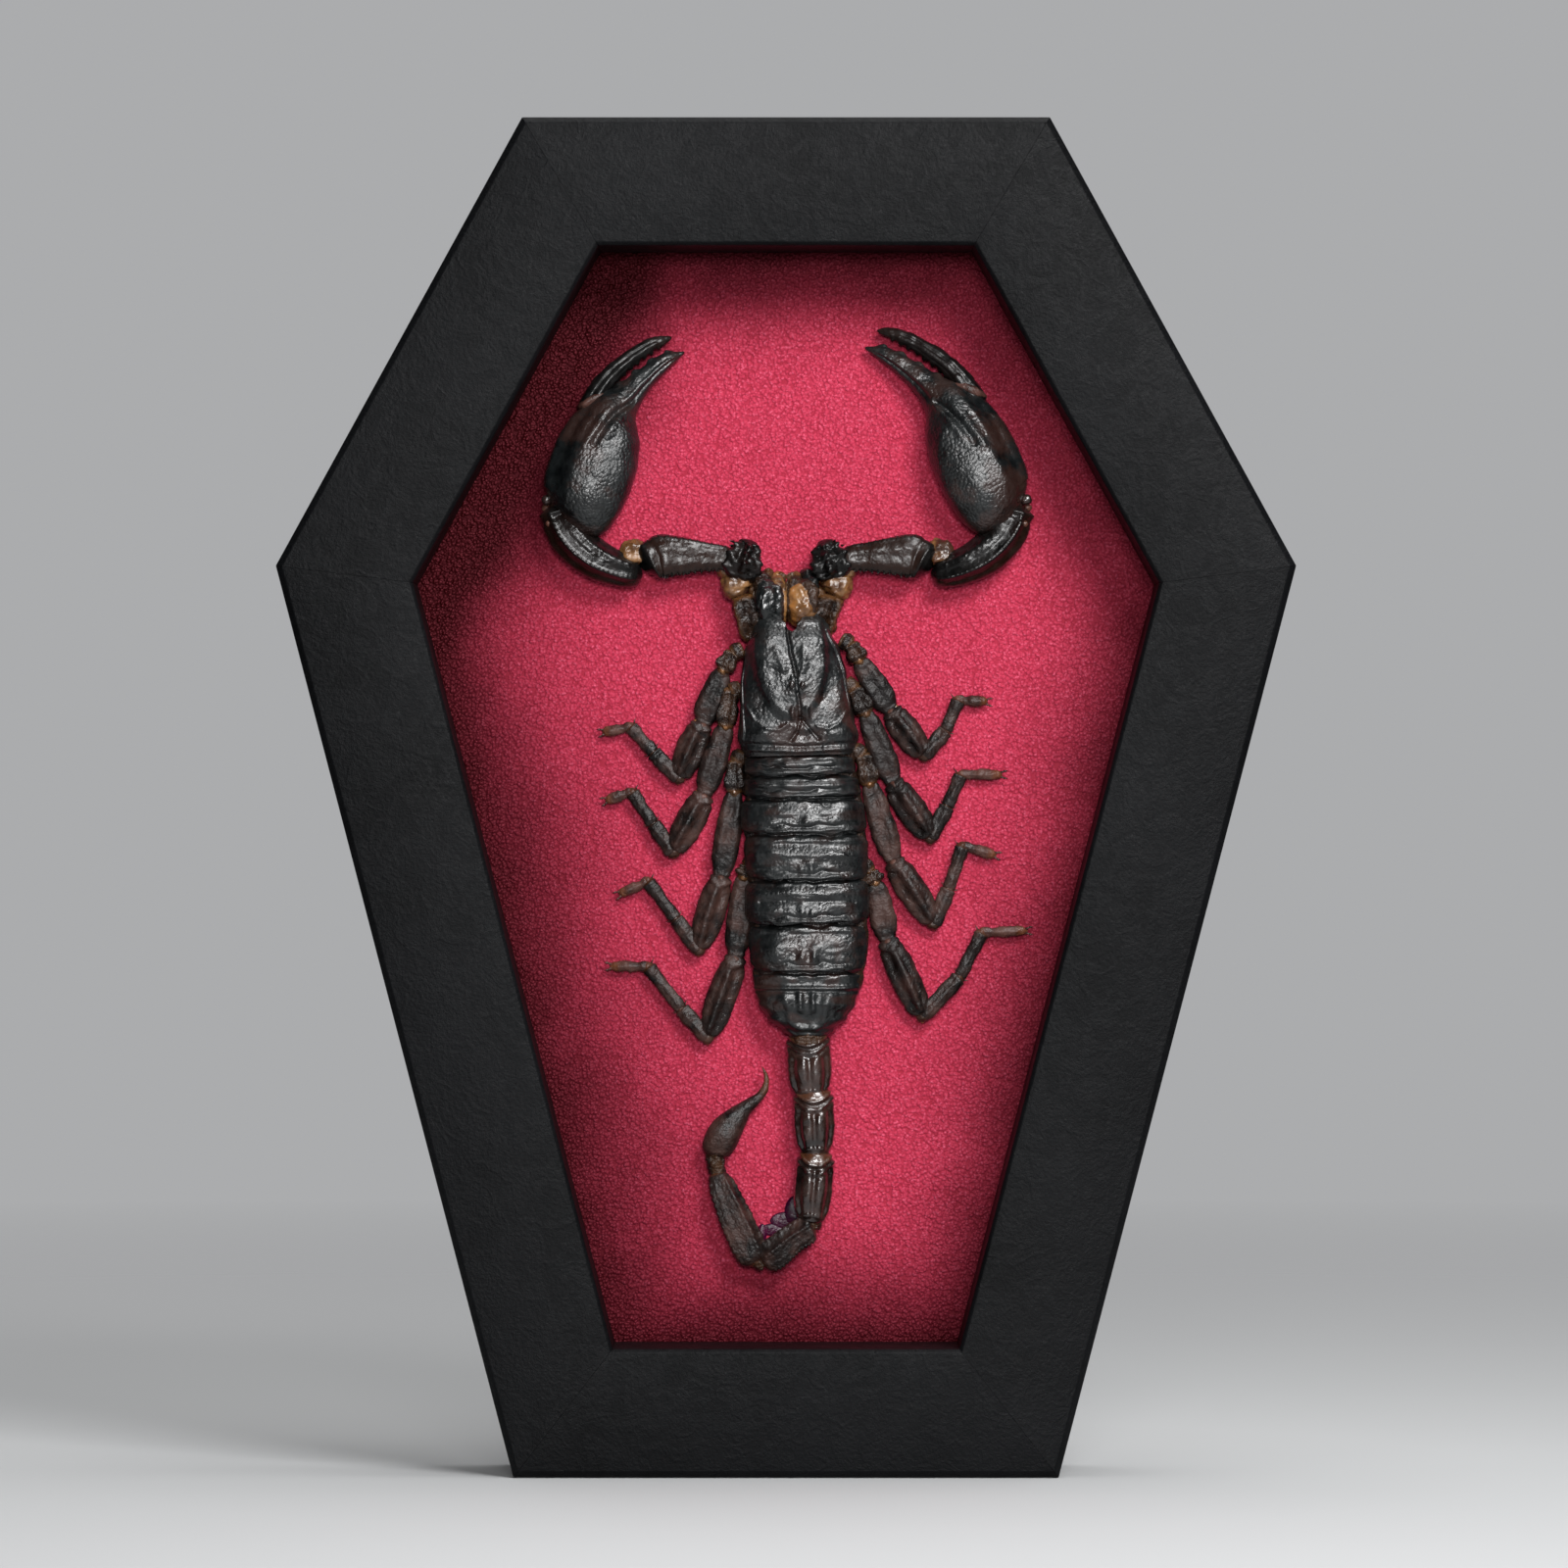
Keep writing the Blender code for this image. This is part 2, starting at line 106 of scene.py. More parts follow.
class Tree:
    """Adds and joins the nodes of one node tree."""

    def __init__(self, tree: bpy.types.NodeTree) -> None:
        """Wraps a tree, whose nodes can be there already."""
        self.tree = tree

    def add(
        self, kind: str, inputs: dict[str | int, Value] | None = None, **settings: object
    ) -> bpy.types.Node:
        """Adds a node.

        Args:
            kind: The node's type without its ShaderNode prefix.
            inputs: A value or a socket for each input that is set, by name or number.
            settings: Properties of the node.

        Returns:
            The new node.
        """
        node = self.tree.nodes.new(f"ShaderNode{kind}")
        for name, value in settings.items():
            setattr(node, name, value)
        for name, value in (inputs or {}).items():
            if isinstance(value, Socket):
                self.tree.links.new(value, node.inputs[name])
            else:
                node.inputs[name].default_value = value
        return node

    def math(self, operation: str, first: Value, second: Value = 0.0, clamp: bool = False) -> Socket:
        """The result of a Math node on two values."""
        return self.add("Math", {0: first, 1: second}, operation=operation, use_clamp=clamp).outputs[0]

    def mix(self, share: Value, first: Value, second: Value, blend: str = "MIX") -> Socket:
        """Two colours mixed by a share."""
        inputs = {0: share, 6: first, 7: second}
        return self.add("Mix", inputs, data_type="RGBA", blend_type=blend).outputs[2]

    def span(self, value: Value, low: float, high: float, to_low: float, to_high: float) -> Socket:
        """A value mapped from one range onto another, and kept inside it."""
        inputs = {"Value": value, "From Min": low, "From Max": high, "To Min": to_low, "To Max": to_high}
        return self.add("MapRange", inputs, clamp=True).outputs["Result"]

    def feed(self, shader: bpy.types.Node, **values: Value) -> None:
        """Joins or sets a shader's inputs, by their short names in SHADER_INPUTS."""
        for name, value in values.items():
            socket = shader.inputs[SHADER_INPUTS[name]]
            if isinstance(value, Socket):
                self.tree.links.new(value, socket)
            else:
                socket.default_value = value

    def bump(self, shader: bpy.types.Node, relief: Socket) -> None:
        """Gives a shader the relief, in metres, as bump."""
        bump = self.add("Bump", {"Height": relief, "Distance": 1.0, "Strength": 1.0})
        self.feed(shader, normal=bump.outputs["Normal"])

    def output(self, name: str, value: Socket) -> None:
        """Joins a value to a group's output."""
        end = next(node for node in self.tree.nodes if node.bl_idname == "NodeGroupOutput")
        self.tree.links.new(value, end.inputs[name])


class Effect(Enum):
    """The effects that several finishes share, each built once as a node group."""

    PEBBLE = "pebble grain"
    MOTTLE = "mottle"
    DUST = "settled dust"
    CREASE = "fine creases"


class EffectShelf:
    """Builds each shared effect when it is first asked for, and keeps it."""

    def __init__(self) -> None:
        """Starts with no effect built."""
        self.built: dict[Effect, bpy.types.NodeTree] = {}
        self.makers: dict[Effect, Callable[[], bpy.types.NodeTree]] = {
            Effect.PEBBLE: self.pebble, Effect.MOTTLE: self.mottle, Effect.DUST: self.dust,
            Effect.CREASE: self.crease}

    def get(self, effect: Effect) -> bpy.types.NodeTree:
        """The node group of an effect."""
        if effect not in self.built:
            self.built[effect] = self.makers[effect]()
        return self.built[effect]

    def start(self, effect: Effect, inputs: dict[str, float], outputs: Sequence[str]) -> tuple[Tree, dict]:
        """Makes an empty group with its sockets.

        Args:
            effect: The effect whose group it is.
            inputs: The default of each value input. A Vector input comes first by itself.
            outputs: The names of the value outputs.

        Returns:
            The group's tree, and its input sockets by name.
        """
        group = bpy.data.node_groups.new(effect.value, "ShaderNodeTree")
        group.interface.new_socket("Vector", in_out="INPUT", socket_type="NodeSocketVector")
        for name, value in inputs.items():
            socket = group.interface.new_socket(name, in_out="INPUT", socket_type="NodeSocketFloat")
            socket.default_value = value
        for name in outputs:
            group.interface.new_socket(name, in_out="OUTPUT", socket_type="NodeSocketFloat")
        given = group.nodes.new("NodeGroupInput")
        group.nodes.new("NodeGroupOutput")
        return Tree(group), {socket.name: socket for socket in given.outputs if socket.name}

    def pebble(self) -> bpy.types.NodeTree:
        """Rounded pebbles with soft creases between them, as in embossed leather or granular cuticle."""
        tree, given = self.start(Effect.PEBBLE, {"Scale": 1000.0, "Warp": 0.5}, ["Height", "Crease"])
        swirl_scale = tree.math("MULTIPLY", given["Scale"], 0.45)
        swirl = tree.add("TexNoise", {"Vector": given["Vector"], "Scale": swirl_scale, "Detail": 1.0})
        centred = tree.add(
            "VectorMath", {0: swirl.outputs["Color"], 1: (0.5, 0.5, 0.5)}, operation="SUBTRACT")
        reach = tree.math("DIVIDE", given["Warp"], given["Scale"])
        shift = tree.add("VectorMath", {0: centred.outputs[0], "Scale": reach}, operation="SCALE")
        warped = tree.add("VectorMath", {0: given["Vector"], 1: shift.outputs[0]}, operation="ADD")
        domes = tree.add("TexVoronoi", {"Vector": warped.outputs[0], "Scale": given["Scale"]})
        dome = tree.span(domes.outputs["Distance"], 0.0, 0.8, 1.0, 0.0)
        rounded = tree.math("MULTIPLY", dome, tree.math("SUBTRACT", 2.0, dome))
        uneven = tree.span(swirl.outputs["Fac"], 0.3, 0.7, 0.55, 1.0)
        tree.output("Height", tree.math("MULTIPLY", rounded, uneven))
        tree.output("Crease", tree.span(domes.outputs["Distance"], 0.38, 0.8, 0.0, 1.0))
        return tree.tree

    def mottle(self) -> bpy.types.NodeTree:
        """Soft uneven patches."""
        tree, given = self.start(Effect.MOTTLE, {"Scale": 100.0, "Contrast": 1.0}, ["Share"])
        patches = {"Vector": given["Vector"], "Scale": given["Scale"], "Detail": 5.0, "Roughness": 0.6}
        cloud = tree.add("TexNoise", patches)
        spread = tree.math("MULTIPLY", tree.math("SUBTRACT", cloud.outputs["Fac"], 0.5), given["Contrast"])
        tree.output("Share", tree.math("ADD", tree.math("MULTIPLY", spread, 2.5), 0.5, clamp=True))
        return tree.tree

    def dust(self) -> bpy.types.NodeTree:
        """Dust that lies in specks and patches, and most on what faces up."""
        tree, given = self.start(Effect.DUST, {"Scale": 300.0, "Amount": 0.1}, ["Mask"])
        normal = tree.add("NewGeometry").outputs["Normal"]
        upward = tree.add("SeparateXYZ", {0: normal}).outputs["Z"]
        settled = tree.span(upward, 0.0, 0.9, 0.35, 1.0)
        cloud = tree.add("TexNoise", {"Vector": given["Vector"], "Scale": given["Scale"], "Detail": 6.0})
        patchy = tree.span(cloud.outputs["Fac"], 0.42, 0.72, 0.15, 1.0)
        amount = tree.math("MULTIPLY", given["Amount"], settled)
        tree.output("Mask", tree.math("MULTIPLY", amount, patchy, clamp=True))
        return tree.tree

    def crease(self) -> bpy.types.NodeTree:
        """Short worm-like creases, as in a paper wrap or dried skin."""
        tree, given = self.start(Effect.CREASE, {"Scale": 400.0, "Sharpness": 4.0}, ["Height"])
        lines = {"Vector": given["Vector"], "Scale": given["Scale"], "Detail": 2.5, "Distortion": 0.8}
        cloud = tree.add("TexNoise", lines)
        away = tree.math("ABSOLUTE", tree.math("SUBTRACT", cloud.outputs["Fac"], 0.5))
        ridge = tree.math("SUBTRACT", 1.0, tree.math("MULTIPLY", away, given["Sharpness"]), clamp=True)
        tree.output("Height", ridge)
        return tree.tree


EFFECTS = EffectShelf()


class Finish:
    """What every finish shares: it is built into one material when it is first used."""

    name: str

    def material(self) -> bpy.types.Material:
        """The finish's material."""
        found = bpy.data.materials.get(self.name)
        if found is not None:
            return found
        made = bpy.data.materials.new(self.name)
        made.use_nodes = True
        tree = Tree(made.node_tree)
        shader = made.node_tree.nodes["Principled BSDF"]
        self.paint(tree, shader, tree.add("TexCoord").outputs["Object"])
        return made

    def paint(self, tree: Tree, shader: bpy.types.Node, place: Socket) -> None:
        """Adds the finish's own nodes in front of the shader."""
        raise NotImplementedError

    def effect(self, tree: Tree, effect: Effect, place: Socket, **values: Value) -> Socket:
        """Places a shared effect in the material, with its own values, and gives its first output."""
        inputs = {"Vector": place, **{name.capitalize(): value for name, value in values.items()}}
        return tree.add("Group", inputs, node_tree=EFFECTS.get(effect)).outputs[0]

    def mottle(self, tree: Tree, place: Socket, scale: float, contrast: float) -> Socket:
        """Soft patches of a scale in cells a metre."""
        return self.effect(tree, Effect.MOTTLE, place, scale=scale, contrast=contrast)


def attribute(tree: Tree, name: str) -> Socket:
    """A value that the mesh carries on its points."""
    return tree.add("Attribute", attribute_name=name).outputs["Fac"]


def opaque(colour: Colour) -> tuple[float, float, float, float]:
    """A colour with full alpha."""
    return (*colour, 1.0)


@dataclass(frozen=True)
class Cuticle(Finish):
    """Dried scorpion cuticle: satin, mottled and granular, and amber or brown towards its joints.

    The mesh's point values joint, grain and gleam say where it turns amber, is granular or is polished.
    """

    name: str
    dark: Colour
    light: Colour
    joint: Colour
    roughness: float
    polish: float
    granule: float
    granule_depth: float
    crease_depth: float
    coat: float = 0.0
    dust: float = 0.06
    stain: Colour = (0.03, 0.013, 0.009)
    stain_share: float = 0.0
    specular: float = 0.4
    dust_colour: Colour = (0.15, 0.145, 0.14)
    coat_roughness: float = 0.14

    def paint(self, tree: Tree, shader: bpy.types.Node, place: Socket) -> None:
        """Adds the cuticle's colours, gloss and relief."""
        patches = self.mottle(tree, place, 330.0, 1.5)
        specks = self.mottle(tree, place, 1700.0, 1.2)
        shell = tree.mix(patches, opaque(self.dark), opaque(self.light))
        if self.stain_share:
            clouds = self.mottle(tree, place, 120.0, 1.8)
            shell = tree.mix(tree.span(clouds, 0.5, 0.85, 0.0, self.stain_share), shell, opaque(self.stain))
        stain = tree.math("MULTIPLY", attribute(tree, "joint"), tree.span(specks, 0.0, 1.0, 0.6, 1.2))
        stained = tree.mix(tree.math("MINIMUM", stain, 1.0), shell, opaque(self.joint))
        dust = self.effect(tree, Effect.DUST, place, scale=900.0, amount=self.dust)
        colour = tree.mix(dust, stained, opaque(self.dust_colour))

        uneven = tree.span(patches, 0.0, 1.0, self.roughness - 0.05, self.roughness + 0.08)
        polished = tree.math("MULTIPLY", attribute(tree, "gleam"), self.roughness - self.polish)
        rough = tree.math("ADD", tree.math("SUBTRACT", uneven, polished), tree.math("MULTIPLY", dust, 0.4))
        tree.feed(shader, colour=colour, rough=rough, specular=self.specular)
        tree.feed(shader, coat=self.coat, coat_rough=self.coat_roughness)

        pebble = self.effect(tree, Effect.PEBBLE, place, scale=1.0 / self.granule, warp=0.6)
        granules = tree.math("MULTIPLY", pebble, attribute(tree, "grain"))
        creases = self.effect(tree, Effect.CREASE, place, scale=620.0, sharpness=5.0)
        relief = tree.math("MULTIPLY", granules, self.granule_depth)
        relief = tree.math("ADD", relief, tree.math("MULTIPLY", creases, self.crease_depth))
        tree.bump(shader, tree.math("ADD", relief, tree.math("MULTIPLY", specks, self.crease_depth * 0.6)))


@dataclass(frozen=True)
class Leatherette(Finish):
    """Crimson embossed leatherette, with painted shade that darkens it towards the frame's walls.

    Each wall of the outline, which starts at the base, has its own pair of distances for the painted shade's
    fade.
    """

    name: str
    centre: Colour
    # edge is the painted shade colour at the walls, and centre is the leatherette's own colour
    edge: Colour
    pebble: float
    depth: float
    outline: tuple[Point, ...]
    # the distances over which the painted wall shade thins out, one pair for each wall
    fades: tuple[Point, ...]
    # the multiplier of the painted shade in the creases between the pebbles
    crease_tint: Colour = (0.62, 0.45, 0.45)
    # the multiplier of the painted glint highlights on the pebble tops
    glint_tint: Colour = (1.5, 3.2, 2.6)
    dust_colour: Colour = (0.3, 0.12, 0.14)
    gloss_tint: Colour = (1.0, 0.19, 0.26)

    def wall_light(self, tree: Tree, place: Socket) -> Socket:
        """The painted share of light that the walls leave, which grows from each wall over its own distance:
        painted shade towards the walls.
        """
        least: Socket | float = 1.0
        for index, (corner, (low, high)) in enumerate(zip(self.outline, self.fades)):
            after = self.outline[(index + 1) % len(self.outline)]
            along = Vector((after[0] - corner[0], after[1] - corner[1])).normalized() / ((high - low) * MM)
            inwards = (-along.y, 0.0, along.x)
            offset = -(corner[0] * inwards[0] + corner[1] * inwards[2]) - low / (high - low)
            reach = tree.add("VectorMath", {0: place, 1: inwards}, operation="DOT_PRODUCT").outputs["Value"]
            least = tree.math("SMOOTH_MIN", tree.math("ADD", reach, offset), least)
            least.node.inputs[2].default_value = 0.2
        return least

    def paint(self, tree: Tree, shader: bpy.types.Node, place: Socket) -> None:
        """Adds the leatherette's colour with painted wall shade, painted shade in the creases, emboss and
        painted glint highlights.
        """
        wander = self.mottle(tree, place, 60.0, 1.0)
        # painted shade: the colour darkens towards the frame's walls, with a little random wander
        uneven = tree.math("ADD", self.wall_light(tree, place), tree.span(wander, 0.0, 1.0, -0.08, 0.08))
        lit = tree.add("MapRange", {"Value": uneven}, interpolation_type="SMOOTHSTEP").outputs["Result"]
        ground = tree.mix(lit, opaque(self.edge), opaque(self.centre))
        pebble = self.effect(tree, Effect.PEBBLE, place, scale=1.0 / self.pebble, warp=1.0)
        # painted shade in the creases between the pebbles, stronger in random patches
        crease_shade_patches = self.mottle(tree, place, 420.0, 1.4)
        between = pebble.node.outputs["Crease"]
        crease = tree.math("MULTIPLY", between, tree.span(crease_shade_patches, 0.0, 1.0, 0.4, 0.8))
        crease_shaded = tree.mix(crease, ground, opaque(self.crease_tint), blend="MULTIPLY")
        # painted glint highlights: some pebble tops made brighter in colour
        fine = self.mottle(tree, place, 2600.0, 1.6)
        painted_glints = tree.math("MULTIPLY", tree.span(fine, 0.62, 0.9, 0.0, 1.0), pebble)
        painted_glinting = tree.mix(painted_glints, crease_shaded, opaque(self.glint_tint), blend="MULTIPLY")
        dust = self.effect(tree, Effect.DUST, place, scale=650.0, amount=0.006)
        colour = tree.mix(dust, painted_glinting, opaque(self.dust_colour))
        rough = tree.span(pebble, 0.2, 1.0, 0.55, 0.32)
        tree.feed(shader, colour=colour, rough=rough, specular=0.25, tint=opaque(self.gloss_tint))
        tree.bump(shader, tree.math("MULTIPLY", pebble, self.depth))


@dataclass(frozen=True)
class BlackWrap(Finish):
    """The frame's black wrap: matte, with faint short creases and a little dust."""

    name: str
    dark: Colour
    light: Colour
    roughness: float
    dust: float

    def paint(self, tree: Tree, shader: bpy.types.Node, place: Socket) -> None:
        """Adds the wrap's colours and its low relief."""
        patches = self.mottle(tree, place, 45.0, 1.2)
        strokes = self.effect(tree, Effect.CREASE, place, scale=260.0, sharpness=9.0)
        grain = self.mottle(tree, place, 2600.0, 1.2)
        ground = tree.mix(patches, opaque(self.dark), opaque(self.light))
        marked = tree.mix(tree.math("MULTIPLY", strokes, 0.4), ground, opaque(self.light))
        dust = self.effect(tree, Effect.DUST, place, scale=350.0, amount=self.dust)
        colour = tree.mix(dust, marked, (0.12, 0.12, 0.12, 1.0))
        uneven = tree.span(grain, 0.0, 1.0, self.roughness - 0.06, self.roughness + 0.08)
        rough = tree.math("SUBTRACT", uneven, tree.math("MULTIPLY", strokes, 0.07))
        tree.feed(shader, colour=colour, rough=rough, specular=0.075)
        relief = tree.math("MULTIPLY", strokes, 0.000022)
        tree.bump(shader, tree.math("ADD", relief, tree.math("MULTIPLY", grain, 0.000035)))


@dataclass(frozen=True)
class Hardboard(Finish):
    """Bare brown hardboard with pressed fibres."""

    name: str
    dark: Colour
    light: Colour

    def paint(self, tree: Tree, shader: bpy.types.Node, place: Socket) -> None:
        """Adds the board's fibres and flecks."""
        fibres = self.effect(tree, Effect.CREASE, place, scale=900.0, sharpness=6.0)
        patches = self.mottle(tree, place, 60.0, 1.0)
        flecks = self.mottle(tree, place, 1400.0, 1.6)
        board = tree.mix(patches, opaque(self.dark), opaque(self.light))
        fibrous = tree.mix(tree.math("MULTIPLY", fibres, 0.35), board, (0.3, 0.2, 0.12, 1.0))
        flecked = tree.mix(tree.math("MULTIPLY", flecks, 0.3), fibrous, opaque(self.dark))
        tree.feed(shader, colour=flecked, rough=tree.span(flecks, 0.0, 1.0, 0.75, 0.92))
        tree.bump(shader, tree.math("MULTIPLY", tree.math("ADD", fibres, flecks), 0.00005))


@dataclass(frozen=True)
class RolledSteel(Finish):
    """Thin bright steel with fine scratches and a trace of tarnish."""

    name: str
    bright: Colour
    tarnish: Colour

    def paint(self, tree: Tree, shader: bpy.types.Node, place: Socket) -> None:
        """Adds the steel's scratches and tarnish."""
        stretched = tree.add("Mapping", {"Vector": place, "Scale": (1.0, 1.0, 0.06)}).outputs[0]
        scratches = self.effect(tree, Effect.CREASE, stretched, scale=4200.0, sharpness=7.0)
        patches = self.mottle(tree, place, 500.0, 1.8)
        share = tree.math("MULTIPLY", patches, 0.55)
        colour = tree.mix(share, opaque(self.bright), opaque(self.tarnish))
        tree.feed(shader, colour=colour, rough=tree.span(patches, 0.0, 1.0, 0.25, 0.5), metallic=1.0)
        tree.bump(shader, tree.math("MULTIPLY", scratches, 0.00001))


@dataclass(frozen=True)
class DriedGlue(Finish):
    """A clear purple-brown drop of dried glue with a wet-looking surface."""

    name: str
    thin: Colour
    thick: Colour

    def paint(self, tree: Tree, shader: bpy.types.Node, place: Socket) -> None:
        """Adds the glue's uneven colour and its few ripples."""
        clouds = self.mottle(tree, place, 700.0, 1.2)
        colour = tree.mix(clouds, opaque(self.thin), opaque(self.thick))
        tree.feed(shader, colour=colour, rough=tree.span(clouds, 0.0, 1.0, 0.2, 0.32), specular=0.2)
        tree.bump(shader, tree.math("MULTIPLY", clouds, 0.00006))


# Meshes of the animal

REACH_IN_WIDTHS = 3.0
RIDGE_EASE = 0.12
ZONE_EASE_OUT = 0.04
ZONE_EASE_IN = 0.02


@dataclass(frozen=True)
class Station:
    """One cross-section of a hard segment, in millimetres. Its lift is that of its middle."""

    x: float
    z: float
    half_width: float
    half_height: float
    lift: float


class Spine:
    """A smooth curve through a segment's stations, with its girth and lift along it."""

    def __init__(self, stations: Sequence[Station]) -> None:
        """Marks each station with its share of the curve's length."""
        self.rows = [(s.x, s.z, s.half_width, s.half_height, s.lift) for s in stations]
        self.marks = [0.0]
        for before, after in zip(self.rows, self.rows[1:]):
            step = math.dist((*before[:2], before[4]), (*after[:2], after[4]))
            self.marks.append(self.marks[-1] + step)
        self.length = self.marks[-1]
        self.marks = [mark / self.length for mark in self.marks]
        self.kept: dict[int, tuple[Station, Vector]] = {}

    def slope(self, index: int) -> list[float]:
        """How fast each value changes with the share at a station."""
        before, after = max(index - 1, 0), min(index + 1, len(self.rows) - 1)
        span = self.marks[after] - self.marks[before]
        return [(b - a) / span for a, b in zip(self.rows[before], self.rows[after])]

    def at(self, share: float) -> Station:
        """The section at a share of the length, on a Hermite curve through the stations."""
        share = min(max(share, 0.0), 1.0)
        index = min(bisect_right(self.marks, share) - 1, len(self.rows) - 2)
        step = self.marks[index + 1] - self.marks[index]
        t = (share - self.marks[index]) / step
        curve = (
            2 * t**3 - 3 * t**2 + 1, (t**3 - 2 * t**2 + t) * step, 3 * t**2 - 2 * t**3, (t**3 - t**2) * step)
        ends = zip(self.rows[index], self.slope(index), self.rows[index + 1], self.slope(index + 1))
        return Station(*(sum(a * b for a, b in zip(curve, row)) for row in ends))

    def section(self, share: float) -> tuple[Station, Vector]:
        """The station and the heading at a share of the length, worked out once for each millionth."""
        key = round(share * 1e6)
        if key not in self.kept:
            self.kept[key] = (self.at(share), self.heading(share))
        return self.kept[key]

    def heading(self, share: float) -> Vector:
        """The direction in the lining's plane at a share of the length."""
        before, after = self.at(share - 0.02), self.at(share + 0.02)
        return Vector((after.x - before.x, after.z - before.z)).normalized()


@dataclass(frozen=True)
class Ridge:
    """A keel along a segment, or a groove where its height is negative. It may be toothed or beaded."""

    angle: float
    height: float
    width: float
    start: float = 0.0
    end: float = 1.0
    teeth: int = 0
    tooth: float = 0.0

    def at(self, share: float, angle: float) -> float:
        """The ridge's height at a share of the length and an angle, in millimetres."""
        off = (angle - self.angle + 180.0) % 360.0 - 180.0
        if abs(off) > REACH_IN_WIDTHS * self.width or not self.start <= share <= self.end:
            return 0.0
        ease = max(RIDGE_EASE * (self.end - self.start), 1e-6)
        room = min(share - self.start, self.end - share) / ease
        beads = self.tooth * max(math.sin(math.tau * self.teeth * share), -0.3) if self.teeth else 0.0
        return (self.height + beads) * bell(off, self.width) * min(room, 1.0)


@dataclass(frozen=True)
class Collar:
    """A raised ring round a segment, which sags along it on the side that faces the viewer."""

    share: float
    height: float
    width: float
    sag: float = 0.0

    def at(self, share: float, angle: float) -> float:
        """The ring's height at a share of the length and an angle, in millimetres."""
        middle = self.share + self.sag * max(math.sin(math.radians(angle)), 0.0) ** 2
        return self.height * bell(share - middle, self.width)


@dataclass(frozen=True)
class Mark:
    """A bump or hollow on a surface, at its own (across, along) place in millimetres."""

    across: float
    along: float
    wide: float
    long: float
    height: float

    def at(self, across: float, along: float) -> float:
        """The mark's height at a place."""
        return self.height * bell(self.away(across, along), 1.0)

    def away(self, across: float, along: float) -> float:
        """How far a place is from the mark's middle, in half sizes."""
        return math.hypot((across - self.across) / self.wide, (along - self.along) / self.long)


@dataclass(frozen=True)
class Field(Mark):
    """A raised oval field with a level top and a sloping rim."""

    rim: float = 0.15

    def at(self, across: float, along: float) -> float:
        """The field's height at a place."""
        return self.height * (1.0 - smoothstep(1.0 - self.rim, 1.0 + self.rim, self.away(across, along)))


@dataclass(frozen=True)
class Furrow:
    """A soft groove that follows a line of (across, along) points, or a fold where its height is positive.

    Wander is how far the line strays to and fro on its way across.
    """

    line: tuple[Point, ...]
    width: float
    height: float
    wander: float = 0.0

    def at(self, across: float, along: float) -> float:
        """The furrow's height at a place."""
        if self.wander:
            seed = self.line[0][1] * 3.7 + self.height * 9.0
            along += self.wander * noise.fractal(Vector((across * 0.4, seed, 0.0)), 1.0, 2.0, 2)
        nearest = min(
            self.distance(Vector((across, along)), Vector(a), Vector(b))
            for a, b in zip(self.line, self.line[1:]))
        return self.height * bell(nearest, self.width) if nearest < REACH_IN_WIDTHS * self.width else 0.0

    @staticmethod
    def distance(place: Vector, start: Vector, end: Vector) -> float:
        """The distance from a place to one stretch of the line."""
        run = end - start
        share = min(max((place - start).dot(run) / run.length_squared, 0.0), 1.0)
        return (place - start - run * share).length


@dataclass(frozen=True)
class Skin:
    """How rough a surface's form is, and what its material is told about it.

    Streak draws the wrinkles out along x, as on the back plates.
    """

    wrinkle: float = 0.05
    wrinkle_size: float = 1.6
    granule: float = 0.0
    granule_size: float = 0.5
    grain: float = 0.4
    gleam: float = 0.3
    streak: float = 1.0

    def relief(self, place: Vector) -> float:
        """The height of wrinkles and granules at a place given in metres, in millimetres."""
        spot = place / MM
        drawn = Vector((spot.x / self.streak, spot.y, spot.z)) / self.wrinkle_size
        height = self.wrinkle * noise.fractal(drawn, 1.0, 2.0, 3)
        if self.granule:
            nearest = noise.voronoi(spot / self.granule_size)[0][0]
            height += self.granule * max(1.0 - 1.6 * nearest, 0.0)
        return height


@dataclass(frozen=True)
class Zone:
    """A stretch of a segment that is more or less granular, polished or brown than the rest."""

    angle: float
    width: float
    grain: float = 0.0
    gleam: float = 0.0
    joint: float = 0.0
    start: float = 0.0
    end: float = 1.0

    def weight(self, share: float, angle: float) -> float:
        """How far a place is inside the zone, from 0 to 1."""
        off = abs((angle - self.angle + 180.0) % 360.0 - 180.0)
        round_it = 1.0 - smoothstep(0.7, 1.3, off / self.width)
        begun = smoothstep(self.start - ZONE_EASE_OUT, self.start + ZONE_EASE_IN, share)
        ended = smoothstep(self.end - ZONE_EASE_IN, self.end + ZONE_EASE_OUT, share)
        return round_it * begun * (1.0 - ended)


@dataclass(frozen=True)
class Segment:
    """A closed hard segment that follows its stations.

    Boxy is the power of its oval section: 2 is an oval, and more is squarer. Amber is how far the joint's
    colour reaches in from each end, as a share of the length, and how strong it is. Sag moves its edge along
    the segment on the side that faces the viewer.
    """

    stations: tuple[Station, ...]
    sides: int = 28
    rings: int = 26
    boxy: float = 2.2
    mirror: float = 1.0
    ridges: tuple[Ridge, ...] = ()
    collars: tuple[Collar, ...] = ()
    marks: tuple[Mark | Furrow, ...] = ()
    zones: tuple[Zone, ...] = ()
    skin: Skin = Skin()
    amber: tuple[float, float, float] = (0.1, 0.1, 0.8)
    sag: float = 0.0
    finish: int = 0

    def tinge(self, share: float, angle: float) -> float:
        """How amber the segment is at a share of its length and an angle."""
        start, end, strength = self.amber
        moved = share - self.sag * max(math.sin(math.radians(angle)), 0.0) ** 2
        near = 1.0 - smoothstep(start * 0.4, start, moved) if start else 0.0
        far = smoothstep(1.0 - end, 1.0 - end * 0.4, share) if end else 0.0
        return strength * max(near, far)


